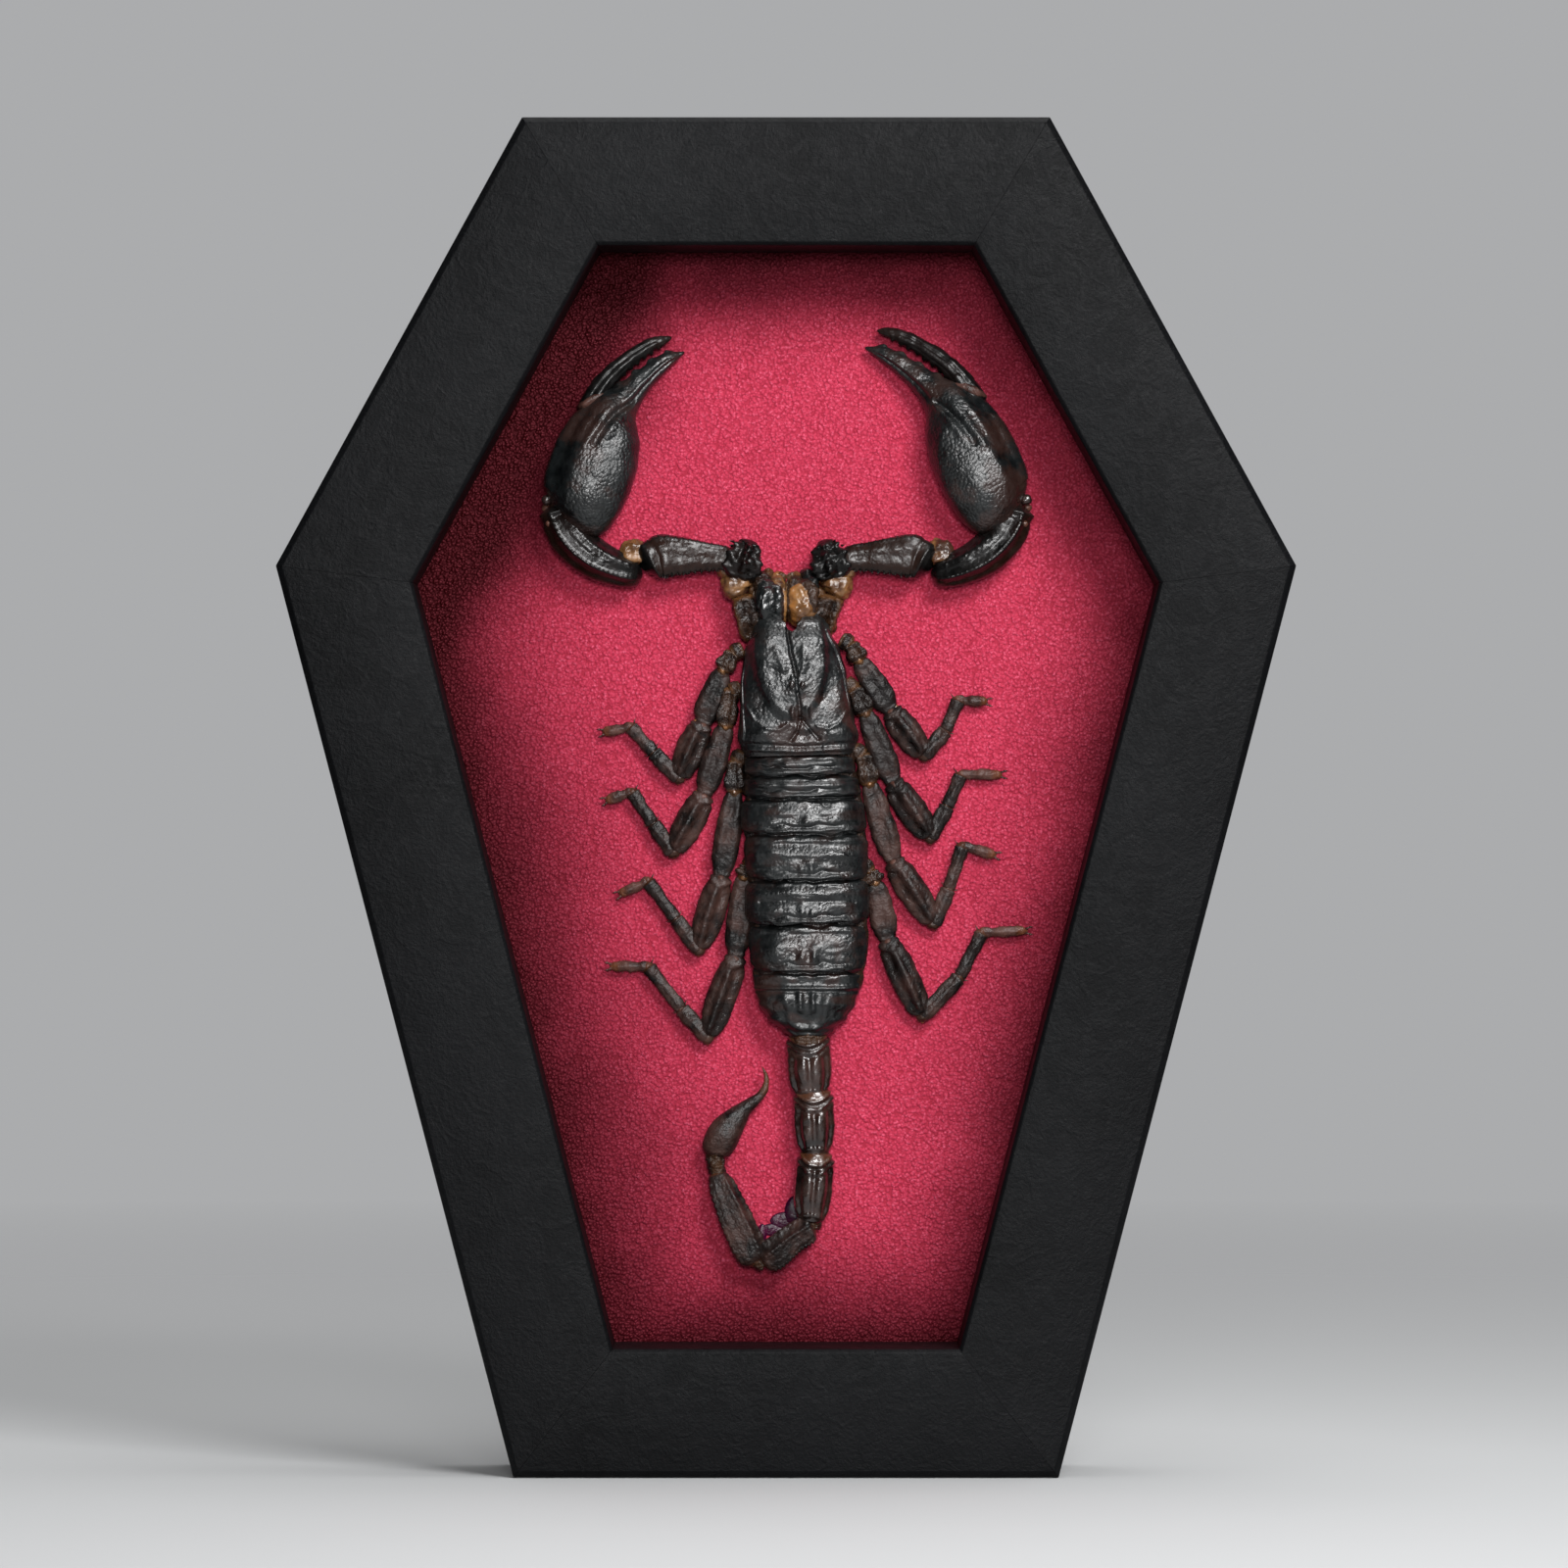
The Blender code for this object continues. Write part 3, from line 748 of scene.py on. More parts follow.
class Shell:
    """A mesh in the making, with the point values that the cuticle's material reads."""

    end_fullness = 1.9
    end_power = 0.75
    mark_fade = 0.35

    def __init__(self) -> None:
        """Starts an empty mesh."""
        self.mesh = bmesh.new()
        self.joint = self.mesh.verts.layers.float.new("joint")
        self.grain = self.mesh.verts.layers.float.new("grain")
        self.gleam = self.mesh.verts.layers.float.new("gleam")

    def tell(
        self, vertex: bmesh.types.BMVert, skin: Skin, joint: float, zones: Sequence[tuple[Zone, float]] = ()
    ) -> None:
        """Writes a point's values for the material.

        Args:
            vertex: The point.
            skin: The skin that it has outside any zone.
            joint: How amber it is there.
            zones: The zones that it may be in, each with how far it is inside.
        """
        grain, gleam = skin.grain, skin.gleam
        for zone, weight in zones:
            grain += (zone.grain - grain) * weight
            gleam += (zone.gleam - gleam) * weight
            joint = max(joint, zone.joint * weight)
        vertex[self.joint], vertex[self.grain], vertex[self.gleam] = joint, grain, gleam

    def dress(self, verts: Sequence[bmesh.types.BMVert], finish: int) -> None:
        """Gives the faces of some points a finish, and shades them smooth."""
        for face in {face for vertex in verts for face in vertex.link_faces}:
            face.material_index = finish
            face.smooth = True

    def grow(self, segment: Segment) -> None:
        """Adds a segment: a ball that is drawn out along the segment's stations."""
        spine = Spine(segment.stations)
        ball = bmesh.ops.create_uvsphere(
            self.mesh, u_segments=segment.sides, v_segments=segment.rings, radius=1.0)["verts"]
        for vertex in ball:
            share = (1.0 - min(max(vertex.co.z, -1.0), 1.0)) / 2.0
            flat = math.hypot(vertex.co.x, vertex.co.y)
            angle = math.degrees(math.atan2(vertex.co.y, vertex.co.x)) if flat > 1e-6 else 90.0
            vertex.co = self.section_point(segment, spine, share, angle, flat)
            inside = [(zone, zone.weight(share, angle)) for zone in segment.zones]
            self.tell(vertex, segment.skin, segment.tinge(share, angle), inside)
        bmesh.ops.recalc_face_normals(self.mesh, faces=list({f for v in ball for f in v.link_faces}))
        self.dress(ball, segment.finish)

    def section_point(
        self, segment: Segment, spine: Spine, share: float, angle: float, flat: float = 1.0
    ) -> Vector:
        """Where a point of the ball goes.

        Args:
            segment: The segment that is grown.
            spine: The segment's curve.
            share: The point's share of the segment's length.
            angle: The point's angle round the segment, in degrees.
            flat: The point's distance from the ball's own axis, which rounds the ends off.

        Returns:
            The point in metres.
        """
        station, heading = spine.section(share)
        turned = math.radians(angle)
        power = segment.boxy
        reach = (abs(math.cos(turned)) ** power + abs(math.sin(turned)) ** power) ** (-1.0 / power)
        rounding = min(flat * self.end_fullness, 1.0) ** self.end_power
        aside = math.cos(turned) * reach * station.half_width
        rise = math.sin(turned) * reach * station.half_height
        extra = sum(ridge.at(share, angle) for ridge in segment.ridges)
        extra += sum(collar.at(share, angle) for collar in segment.collars)
        aside = (aside + math.cos(turned) * extra) * rounding
        rise = (rise + math.sin(turned) * extra) * rounding
        across = beside(heading, segment.mirror)
        if rise > 0.0 and segment.marks:
            fade = min(rise / (self.mark_fade * station.half_height), 1.0)
            along = share * spine.length
            rise += fade * sum(mark.at(aside, along) for mark in segment.marks)
        place = on_lining(station.x + across.x * aside, station.z + across.y * aside, station.lift + rise)
        bumpy = segment.skin.relief(place) * rounding
        return place + outwards(across, angle) * (bumpy * MM)

    def spike(self, foot: Vector, tip: Vector, radius: float, finish: int, joint: float = 0.0) -> None:
        """Adds a thin pointed cone, such as a claw or a bristle, from its foot to its tip in metres."""
        run = tip - foot
        turn = run.to_track_quat("Z", "Y").to_matrix().to_4x4()
        cone = bmesh.ops.create_cone(
            self.mesh, cap_ends=True, segments=6, radius1=radius * MM, radius2=radius * MM * 0.12,
            depth=run.length, matrix=Matrix.Translation((foot + tip) / 2.0) @ turn)["verts"]
        for vertex in cone:
            self.tell(vertex, Skin(grain=0.0, gleam=0.6), joint)
        self.dress(cone, finish)

    def teeth(
        self, segment: Segment, angle: float, count: int, size: float, start: float, end: float
    ) -> None:
        """Adds a row of small teeth along a segment's keel.

        Args:
            segment: The segment that carries them.
            angle: The keel's angle.
            count: How many teeth.
            size: Their length in millimetres.
            start: The share of the length where the row begins.
            end: The share where it ends.
        """
        spine = Spine(segment.stations)
        for index in range(count):
            share = start + (end - start) * (index + 0.5) / count
            place = self.section_point(segment, spine, share, angle)
            away = outwards(beside(spine.heading(share), segment.mirror), angle)
            long = size * (0.8 + 0.4 * ((index * 7) % 5) / 4.0)
            self.spike(place - away * 0.25 * MM, place + away * long * MM, 0.3 * size + 0.08, segment.finish)

    def bead(self, centre: Vector, size: Place, finish: int, skin: Skin, joint: float) -> None:
        """Adds a small rounded lump at a place in metres, with its half sizes in millimetres."""
        shape = Matrix.Translation(centre) @ Matrix.Diagonal((*(part * MM for part in size), 1.0))
        lump = bmesh.ops.create_icosphere(self.mesh, subdivisions=3, radius=1.0, matrix=shape)["verts"]
        for vertex in lump:
            vertex.co += (vertex.co - centre).normalized() * skin.relief(vertex.co) * MM
            self.tell(vertex, skin, joint)
        self.dress(lump, finish)

    def finish(self, name: str, slot: str, *nodes: str) -> bpy.types.Object:
        """Turns the mesh into a piece of the animal, which stands for some solids."""
        return make_piece(name, self.mesh, LIMB_FINISHES, slot, *nodes)


def make_piece(
    name: str, mesh: bmesh.types.BMesh, finishes: Sequence[Finish], slot: str, *nodes: str
) -> bpy.types.Object:
    """Turns a bmesh, which is freed, into a piece that rides on the root body.

    Args:
        name: The piece's name.
        mesh: Its mesh.
        finishes: What the faces' finish numbers stand for.
        slot: The material slot that the piece's finish is known by. Not used.
        nodes: The solids that the piece stands for.

    Returns:
        The piece.
    """
    data = bpy.data.meshes.new(name)
    mesh.to_mesh(data)
    mesh.free()
    for finish in finishes:
        data.materials.append(finish.material())
    piece = bpy.data.objects.new(name, data)
    bpy.context.scene.collection.objects.link(piece)
    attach(piece, ROOT)
    if nodes:
        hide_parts(*nodes)
    LOG.info("%s: %d faces", name, len(data.polygons))
    return piece


# Finishes of this object

AMBER = (0.25, 0.1, 0.026)
BLACK_CUTICLE = Cuticle(
    "black_cuticle", (0.0008, 0.0011, 0.0013), (0.0052, 0.0067, 0.0071), (0.022, 0.0075, 0.005), specular=0.5,
    roughness=0.37, polish=0.2, granule=0.00045, granule_depth=0.000085, crease_depth=0.00002, coat=0.06,
    stain=(0.02, 0.0085, 0.0065), stain_share=0.8)
BROWN_CUTICLE = Cuticle(
    "brown_cuticle", (0.0015, 0.0009, 0.0008), (0.04, 0.0185, 0.0145), (0.11, 0.036, 0.011), specular=0.25,
    roughness=0.44, polish=0.24, granule=0.0004, granule_depth=0.00007, crease_depth=0.00005,
    stain=(0.003, 0.0017, 0.0015), stain_share=0.8)
TAIL_CUTICLE = Cuticle(
    "tail_cuticle", (0.0034, 0.0015, 0.0011), (0.027, 0.0115, 0.0085), (0.07, 0.021, 0.006), specular=0.55,
    roughness=0.31, polish=0.13, granule=0.0005, granule_depth=0.00008, crease_depth=0.00002, coat=0.4)
MEMBRANE = Cuticle(
    "joint_membrane", (0.05, 0.017, 0.005), (0.21, 0.1, 0.034), AMBER, roughness=0.32, polish=0.14,
    granule=0.0004, granule_depth=0.00004, crease_depth=0.00005, dust=0.08, specular=0.6,
    stain=(0.03, 0.012, 0.008), stain_share=0.9)
SIDE_SKIN = Cuticle(
    "side_skin", (0.005, 0.0026, 0.002), (0.034, 0.0145, 0.007), (0.13, 0.052, 0.014), roughness=0.42,
    polish=0.2, granule=0.0004, granule_depth=0.0001, crease_depth=0.00012, specular=0.3,
    stain=(0.005, 0.003, 0.0025), stain_share=0.9)
TIP_CUTICLE = Cuticle(
    "foot_cuticle", (0.016, 0.006, 0.0045), (0.08, 0.034, 0.026), (0.11, 0.033, 0.011), specular=0.25,
    roughness=0.5, polish=0.3, granule=0.0003, granule_depth=0.00004, crease_depth=0.00005)
ARM_CUTICLE = Cuticle(
    "arm_cuticle", (0.0006, 0.0006, 0.0006), (0.0042, 0.0037, 0.0036), (0.02, 0.007, 0.004), roughness=0.38,
    polish=0.2, granule=0.00045, granule_depth=0.00004, crease_depth=0.00002, coat=0.1, specular=0.17,
    stain=(0.005, 0.002, 0.0015), stain_share=0.6)
GLUE = DriedGlue("dried_glue", thin=(0.045, 0.0012, 0.018), thick=(0.012, 0.0005, 0.009))
LIMB_FINISHES = (BLACK_CUTICLE, BROWN_CUTICLE, TAIL_CUTICLE, MEMBRANE, SIDE_SKIN, TIP_CUTICLE, ARM_CUTICLE)
BLACK, BROWN, TAIL, SOFT, SIDE, TIP, ARM = range(len(LIMB_FINISHES))


HEAD_X = 0.1


class Side(Enum):
    """The left or right of the animal, as the viewer sees it."""

    LEFT = -1
    RIGHT = 1

    @property
    def word(self) -> str:
        """The side's name in lower case."""
        return self.name.lower()

    def x(self, out: float) -> float:
        """The x of a place that lies this far outwards from the head's middle line, in millimetres."""
        return HEAD_X + self.value * out

    def out(self, rows: Rows) -> tuple[Station, ...]:
        """Stations from rows of (distance outwards, z, half width, half height, lift)."""
        return tuple(Station(self.x(out), z, width, height, lift) for out, z, width, height, lift in rows)


# Trunk


@dataclass(frozen=True)
class Plate:
    """A plate of the back, as a thin arched sheet over the body.

    Its outline runs between a left and a right edge and from a rear to a front line, and its relief is in
    millimetres from its own middle and its rear line.
    """

    name: str
    left: tuple[Point, ...]
    right: tuple[Point, ...]
    height: tuple[Point, ...]
    front: Callable[[float], float]
    rear: Callable[[float], float]
    relief: tuple[Mark | Furrow, ...]
    skin: Skin
    columns: int = 96
    rows: int = 26
    edge_lift: float = 2.9
    crown: float = 2.6
    stain: float = 0.5
    rim_height: float = 0.22
    rim_place: float = 0.86
    rim_width: float = 0.05

    @staticmethod
    def along(table: tuple[Point, ...], place: float) -> float:
        """Reads a value from (z, value) pairs, which run from rear to front."""
        if place <= table[0][0]:
            return table[0][1]
        for (low, first), (high, second) in zip(table, table[1:]):
            if place <= high:
                return first + (second - first) * smoothstep(0.0, 1.0, (place - low) / (high - low))
        return table[-1][1]

    def place(self, across: float, share: float) -> tuple[Vector, float, float]:
        """The point at a share across from -1 to 1 and a share from rear to front, in millimetres.

        Args:
            across: The share across the plate.
            share: The share along the plate.

        Returns:
            The point as (x, lift, z), its distance from the middle line and its distance from the rear line.
        """
        rear, front = self.rear(across), self.front(across)
        z = rear + (front - rear) * share
        left, right = self.along(self.left, z), self.along(self.right, z)
        middle, half = (left + right) / 2.0, (right - left) / 2.0
        turn = across * math.pi / 2.0
        aside = half * math.sin(turn)
        arch = max(1.0 - abs(math.sin(turn)) ** self.crown, 0.0) ** (1.0 / self.crown)
        lift = self.edge_lift + (self.along(self.height, z) - self.edge_lift) * arch
        return Vector((middle + aside, lift, z)), aside, z - self.rear(0.0)

    def build(self, shell: Shell, thickness: float, finish: int) -> None:
        """Adds the plate to a mesh."""
        grid = bmesh.ops.create_grid(
            shell.mesh, x_segments=self.columns, y_segments=self.rows, size=1.0)["verts"]
        stains = {}
        for vertex in grid:
            across = vertex.co.x
            place, aside, along = self.place(across, (vertex.co.y + 1.0) / 2.0)
            carved = sum(mark.at(aside, along) for mark in self.relief)
            carved += self.rim_height * bell(abs(across) - self.rim_place, self.rim_width)
            cloud = noise.noise(Vector((place.x, place.z * 1.6, 7.0)) * 0.4)
            stains[vertex] = self.stain * smoothstep(0.1, 0.45, cloud)
            vertex.co = on_lining(place.x, place.z, place.y + carved)
        faces = list({face for vertex in grid for face in vertex.link_faces})
        bmesh.ops.recalc_face_normals(shell.mesh, faces=faces)
        if sum(face.normal.y for face in faces) > 0.0:
            bmesh.ops.reverse_faces(shell.mesh, faces=faces)
        for vertex in grid:
            vertex.normal_update()
        for vertex in grid:
            vertex.co += vertex.normal * self.skin.relief(vertex.co) * MM
        skinned = bmesh.ops.solidify(shell.mesh, geom=faces, thickness=thickness * MM)["geom"]
        verts = [part for part in skinned if isinstance(part, bmesh.types.BMVert)] + grid
        for vertex in verts:
            shell.tell(vertex, self.skin, stains.get(vertex, 0.0))
        shell.dress(verts, finish)


@dataclass
class Trunk:
    """The carapace, the seven back plates, the soft sides between them, and the eyes."""

    thickness: float = 0.45
    eyes: tuple[Point, ...] = ((0.8, 107.9), (2.25, 107.8))

    def carapace(self) -> Plate:
        """The head shield, with its lobes, its median furrow and the steep dark flanks beside the shield."""
        rear_z, middle = 98.2, 1.15
        lobes = ((0.0, 115.1), (0.05, 115.4), (0.13, 116.6), (0.23, 117.4), (0.34, 117.75), (0.49, 117.6),
                 (0.65, 117.0), (0.8, 116.2), (1.0, 115.0))

        def front(across: float) -> float:
            return Plate.along(lobes, abs(across)) + 0.12 * across

        def rear(across: float) -> float:
            return rear_z + 0.25 * across + 0.5 * smoothstep(0.75, 1.0, abs(across))

        def spot(x: float, z: float, wide: float, long: float, height: float) -> Mark:
            return Mark(x - middle, z - rear_z, wide, long, height)

        def line(height: float, width: float, *points: Point) -> Furrow:
            return Furrow(tuple((x - middle, z - rear_z) for x, z in points), width, height)

        relief = (
            Field(0.75 - middle, 112.6 - rear_z, 5.1, 9.3, 0.55, 0.09),
            line(-0.75, 0.2, (0.62, 115.6), (0.8, 113.4), (1.2, 110.4), (1.5, 109.0)),
            line(-0.55, 0.2, (1.55, 106.8), (1.7, 105.0), (1.75, 103.4)),
            line(-0.45, 0.26, (1.75, 103.4), (1.1, 101.6), (0.2, 100.3)),
            line(-0.45, 0.26, (1.75, 103.4), (2.8, 101.7), (4.0, 100.5)), spot(1.55, 107.8, 1.3, 1.5, 0.4),
            spot(1.53, 107.8, 0.2, 0.9, -0.5), spot(-1.9, 113.6, 2.0, 2.4, 0.28),
            spot(3.4, 113.6, 1.8, 2.4, 0.28), line(0.17, 0.5, (-1.0, 112.6), (-0.4, 111.2), (-0.2, 109.9)),
            line(0.15, 0.42, (2.6, 112.8), (2.7, 111.4), (2.4, 109.9)), spot(-1.7, 109.9, 0.8, 1.1, -0.17),
            spot(3.5, 110.2, 0.7, 1.0, -0.15),
            line(-0.4, 1.2, (-5.3, 112.6), (-5.1, 110.0), (-4.5, 107.4), (-3.6, 105.8)),
            line(-0.4, 1.2, (6.9, 112.0), (6.7, 109.6), (6.1, 107.6), (5.3, 106.0)),
            line(0.35, 0.3, (0.75, 104.6), (0.7, 103.3)), line(0.35, 0.3, (2.7, 104.6), (2.75, 103.3)),
            spot(1.2, 101.9, 0.55, 0.5, 0.4), spot(2.5, 101.7, 0.5, 0.45, 0.35),
            spot(-3.6, 101.3, 1.1, 0.7, 0.3), spot(5.9, 101.2, 1.2, 0.6, 0.25),
            line(0.26, 0.26, (-5.7, 105.0), (-4.6, 103.0), (-3.1, 101.9), (-1.4, 101.7), (-0.1, 102.5)),
            line(0.24, 0.26, (8.2, 104.2), (7.0, 102.6), (5.3, 101.8), (3.8, 102.2)),
            spot(2.1, 101.0, 1.3, 0.8, -0.3), line(0.3, 0.26, (-6.2, 99.0), (1.5, 98.75), (9.7, 99.2)),
            line(-0.3, 0.3, (-6.0, 99.75), (1.5, 99.45), (9.2, 99.9)),
            line(0.45, 0.22, (-4.5, 116.2), (-5.75, 112.3), (-6.15, 108.0), (-6.2, 103.5), (-6.5, 100.4)),
            line(0.45, 0.22, (6.0, 115.5), (7.4, 112.5), (8.25, 109.0), (8.8, 104.4), (9.85, 101.0)),
            Mark(-5.2, 2.9, 1.6, 1.2, 0.25), Mark(6.0, 2.6, 1.4, 1.1, 0.2))
        return Plate(
            "carapace",
            left=(
                (98.1, -5.8), (100.6, -6.65), (104.0, -6.3), (108.0, -6.25), (112.2, -5.75), (115.9, -4.5),
                (117.6, -4.1)),
            right=(
                (98.1, 9.2), (101.0, 9.95), (104.2, 8.95), (109.3, 8.3), (112.7, 7.4), (115.2, 6.1),
                (117.6, 5.7)),
            height=(
                (98.2, 7.4), (100.0, 8.0), (104.0, 8.1), (110.0, 7.9), (114.0, 7.3), (116.3, 6.4),
                (117.8, 5.0)),
            front=front, rear=rear, relief=relief,
            skin=Skin(wrinkle=0.07, wrinkle_size=1.8, granule=0.03, granule_size=0.4, grain=0.5, gleam=0.35),
            columns=170, rows=170, crown=3.6, stain=0.12)

    def back_plate(
        self,
        number: int,
        rear_z: float,
        front_z: float,
        rear_edges: Point,
        front_edges: Point,
        height: float,
        relief: tuple[Mark | Furrow, ...],
        tilt: float = 0.0,
        grain: float = 0.35,
    ) -> Plate:
        """One plate behind the carapace.

        Args:
            number: Its place, from 1 behind the carapace to 7 in front of the tail.
            rear_z: Its rear line on the body's middle.
            front_z: Its front line, before the part that slides under the plate in front.
            rear_edges: Its left and right x at the rear.
            front_edges: Its left and right x at the front.
            height: The lift of its crown.
            relief: Its own bumps and grooves.
            tilt: How much further forward its rear line is at the right than at the left.
            grain: How granular it is.

        Returns:
            The plate.
        """
        tucked = 0.7

        def rear(across: float) -> float:
            corner = 0.55 * smoothstep(0.7, 1.0, abs(across))
            ragged = 0.38 * noise.fractal(Vector((across * 2.6, number * 5.7, 0.0)), 1.0, 2.0, 2)
            return rear_z + tilt * across / 2.0 + corner + ragged

        def front(across: float) -> float:
            return front_z + tucked - 0.35 * smoothstep(0.7, 1.0, abs(across)) + tilt * across / 3.0

        span = front_z - rear_z
        rims = (
            Furrow(((-9.0, 0.3), (0.0, 0.25), (9.0, 0.3 + tilt / 2.0)), 0.24, 0.26, 0.3),
            Furrow(((-9.0, 0.95), (0.0, 0.85), (9.0, 0.95 + tilt / 2.0)), 0.3, -0.2, 0.5),
            Furrow(((-8.4, span - 0.15), (8.4, span - 0.15 + tilt / 3.0)), 0.26, -0.6, 0.4),
            Furrow(((-8.4, span - 0.6), (8.4, span - 0.55 + tilt / 3.0)), 0.2, 0.16, 0.4))

        def edge(rear_edge: float, front_edge: float, inwards: float) -> tuple[Point, ...]:
            run = front_edge - rear_edge
            return (
                (rear_z - 0.2, rear_edge + 0.75 * inwards), (rear_z + 0.2 * span, rear_edge + 0.2 * run),
                (rear_z + 0.8 * span, rear_edge + 0.8 * run), (front_z + 0.1, front_edge + 0.6 * inwards))

        return Plate(
            f"back_plate_{number}", left=edge(rear_edges[0], front_edges[0], 1.0),
            right=edge(rear_edges[1], front_edges[1], -1.0),
            height=(
                (rear_z, height), (rear_z + 0.5 * span, height * 0.985), (front_z, height * 0.92),
                (front_z + tucked, height * 0.82)),
            front=front, rear=rear, relief=rims + relief + self.dents(number, span),
            skin=Skin(
                wrinkle=0.11, wrinkle_size=1.7, granule=0.02, granule_size=0.45, grain=grain, gleam=0.35,
                streak=2.1),
            columns=120, rows=24 + round(span * 5), stain=0.3)

    def dents(self, number: int, span: float) -> tuple[Mark, ...]:
        """Shallow chance lumps and dents of a plate, which lie across it."""
        chance = random.Random(70 + number)
        return tuple(
            Mark(
                chance.uniform(-7.0, 7.0), chance.uniform(0.9, span - 0.6), chance.uniform(0.5, 1.8),
                chance.uniform(0.3, 0.7), chance.choice((-0.16, -0.1, 0.12, 0.18, 0.24)))
            for _ in range(4 + round(span)))

    def back_plates(self) -> list[Plate]:
        """The seven plates behind the carapace, each with the bumps that the real one shows."""
        pair = (Mark(-0.7, 1.3, 0.45, 0.7, 0.3), Mark(0.7, 1.3, 0.45, 0.7, 0.3))
        swell = Furrow(((-7.0, 3.4), (7.0, 3.4)), 0.7, 0.2)
        last_relief = (
            Furrow(((-7.4, 6.7), (7.4, 6.7)), 0.22, 0.3), Furrow(((-7.4, 6.2), (7.4, 6.2)), 0.2, -0.2),
            Mark(-3.1, 5.2, 0.95, 1.0, 0.5), Mark(3.1, 5.2, 0.95, 1.0, 0.5),
            Furrow(((-1.0, 5.9), (-0.9, 3.7)), 0.4, 0.35), Furrow(((0.8, 5.9), (0.8, 3.7)), 0.4, 0.35),
            Furrow(((-2.6, 4.2), (-2.2, 2.0)), 0.5, 0.25), Furrow(((2.6, 4.2), (2.2, 2.0)), 0.5, 0.25),
            Mark(-0.9, 0.9, 0.6, 0.5, 0.3), Mark(1.0, 0.9, 0.6, 0.5, 0.3))
        plates = [
            self.back_plate(
                1, 95.5, 98.2, (-5.9, 9.7), (-5.7, 9.3), 7.9,
                (Furrow(((-6.0, 1.5), (2.0, 1.4), (7.0, 1.7)), 0.5, 0.2),), tilt=0.5, grain=0.2),
            self.back_plate(
                2, 92.5, 95.4, (-5.9, 10.5), (-5.8, 9.8), 8.1,
                (Furrow(((-6.0, 1.6), (7.0, 1.7)), 0.5, 0.2), Mark(-6.6, 1.4, 0.9, 0.8, 0.25)), tilt=0.5,
                grain=0.2),
            self.back_plate(
                3, 87.6, 92.3, (-6.3, 11.2), (-6.1, 10.6), 8.3,
                (
                    Mark(-5.0, 1.4, 2.0, 0.8, 0.22), Mark(0.4, 1.5, 0.5, 0.9, 0.2),
                    Mark(4.2, 1.6, 2.0, 0.7, 0.2), Furrow(((2.2, 4.4), (3.2, 3.6), (4.4, 4.3)), 0.3, -0.22)),
                grain=0.45),
            self.back_plate(
                4, 81.2, 87.4, (-5.7, 11.4), (-5.8, 11.2), 8.4,
                pair + (
                    swell, Mark(-5.6, 3.9, 2.0, 0.9, 0.28), Mark(5.2, 3.0, 2.4, 1.0, 0.12),
                    Furrow(((-7.0, 5.2), (7.0, 5.3)), 0.3, 0.22)),
                grain=0.5),
            self.back_plate(
                5, 75.2, 81.1, (-5.6, 11.4), (-5.7, 11.5), 8.3,
                pair + (
                    Furrow(((-7.0, 4.3), (7.0, 4.4)), 0.7, 0.25), Mark(-5.4, 1.6, 1.6, 0.7, 0.2),
                    Furrow(((-6.4, 2.9), (6.4, 3.0)), 0.35, -0.22)),
                tilt=0.3, grain=0.5),
            self.back_plate(
                6, 68.6, 75.1, (-4.8, 11.0), (-5.2, 11.3), 7.9,
                (
                    Mark(-0.9, 2.0, 0.6, 0.8, 0.3), Mark(0.8, 1.9, 0.5, 1.0, 0.42),
                    Mark(2.8, 1.4, 0.8, 0.6, 0.25), Mark(-4.6, 2.9, 1.5, 1.9, 0.4),
                    Furrow(((-6.6, 5.4), (6.6, 5.5)), 0.3, 0.2)),
                grain=0.5),
            self.back_plate(7, 59.6, 68.5, (0.3, 5.9), (-4.3, 10.2), 7.0, last_relief, grain=0.4)]
        last = plates[-1]
        plates[-1] = replace(
            last, left=((59.5, 0.6), (60.6, -0.7), (62.2, -2.6), (64.2, -3.8), (66.4, -4.4), (68.9, -4.6)),
            right=((59.5, 5.3), (60.6, 6.6), (62.2, 8.4), (64.2, 9.6), (66.4, 10.2), (68.9, 10.4)),
            height=((59.5, 5.4), (61.0, 6.5), (64.0, 7.2), (68.5, 7.2), (69.4, 6.3)), stain=0.6)
        return plates

    def soft_body(self) -> Segment:
        """The skin that shows beside and between the plates."""
        rows = (
            (0.9, 114.0, 4.6), (1.1, 109.0, 6.7), (1.6, 101.5, 8.0), (1.9, 96.5, 7.6), (2.4, 90.0, 8.35),
            (2.9, 84.0, 8.35), (3.0, 78.0, 8.35), (3.2, 71.5, 8.0), (3.0, 66.0, 7.1), (3.0, 61.5, 3.6),
            (3.0, 59.0, 2.2))
        stations = tuple(Station(x, z, half, 2.85, 3.3) for x, z, half in rows)
        folds = tuple(Collar(0.16 + 0.11 * step, -0.3, 0.012) for step in range(7))
        return Segment(
            stations, sides=64, rings=90, boxy=2.8, collars=folds, finish=SIDE, amber=(0.0, 0.0, 0.0),
            skin=Skin(wrinkle=0.16, wrinkle_size=1.2, grain=0.5, gleam=0.3))

    def build(self) -> None:
        """Builds the trunk's pieces."""
        for plate in [self.carapace(), *self.back_plates()]:
            shell = Shell()
            plate.build(shell, self.thickness, BLACK)
            shell.finish(plate.name, "cuticle_black", "scorpion_trunk")
        shell = Shell()
        shell.grow(self.soft_body())
        shell.finish("soft_body", "cuticle_brown", "scorpion_trunk")
        shell = Shell()
        for x, z in self.eyes:
            shell.bead(
                on_lining(x, z, 8.85), (0.42, 0.34, 0.6), BLACK, Skin(wrinkle=0.0, grain=0.0, gleam=1.0), 0.3)
        shell.finish("median_eyes", "cuticle_black", "scorpion_trunk")


# Legs


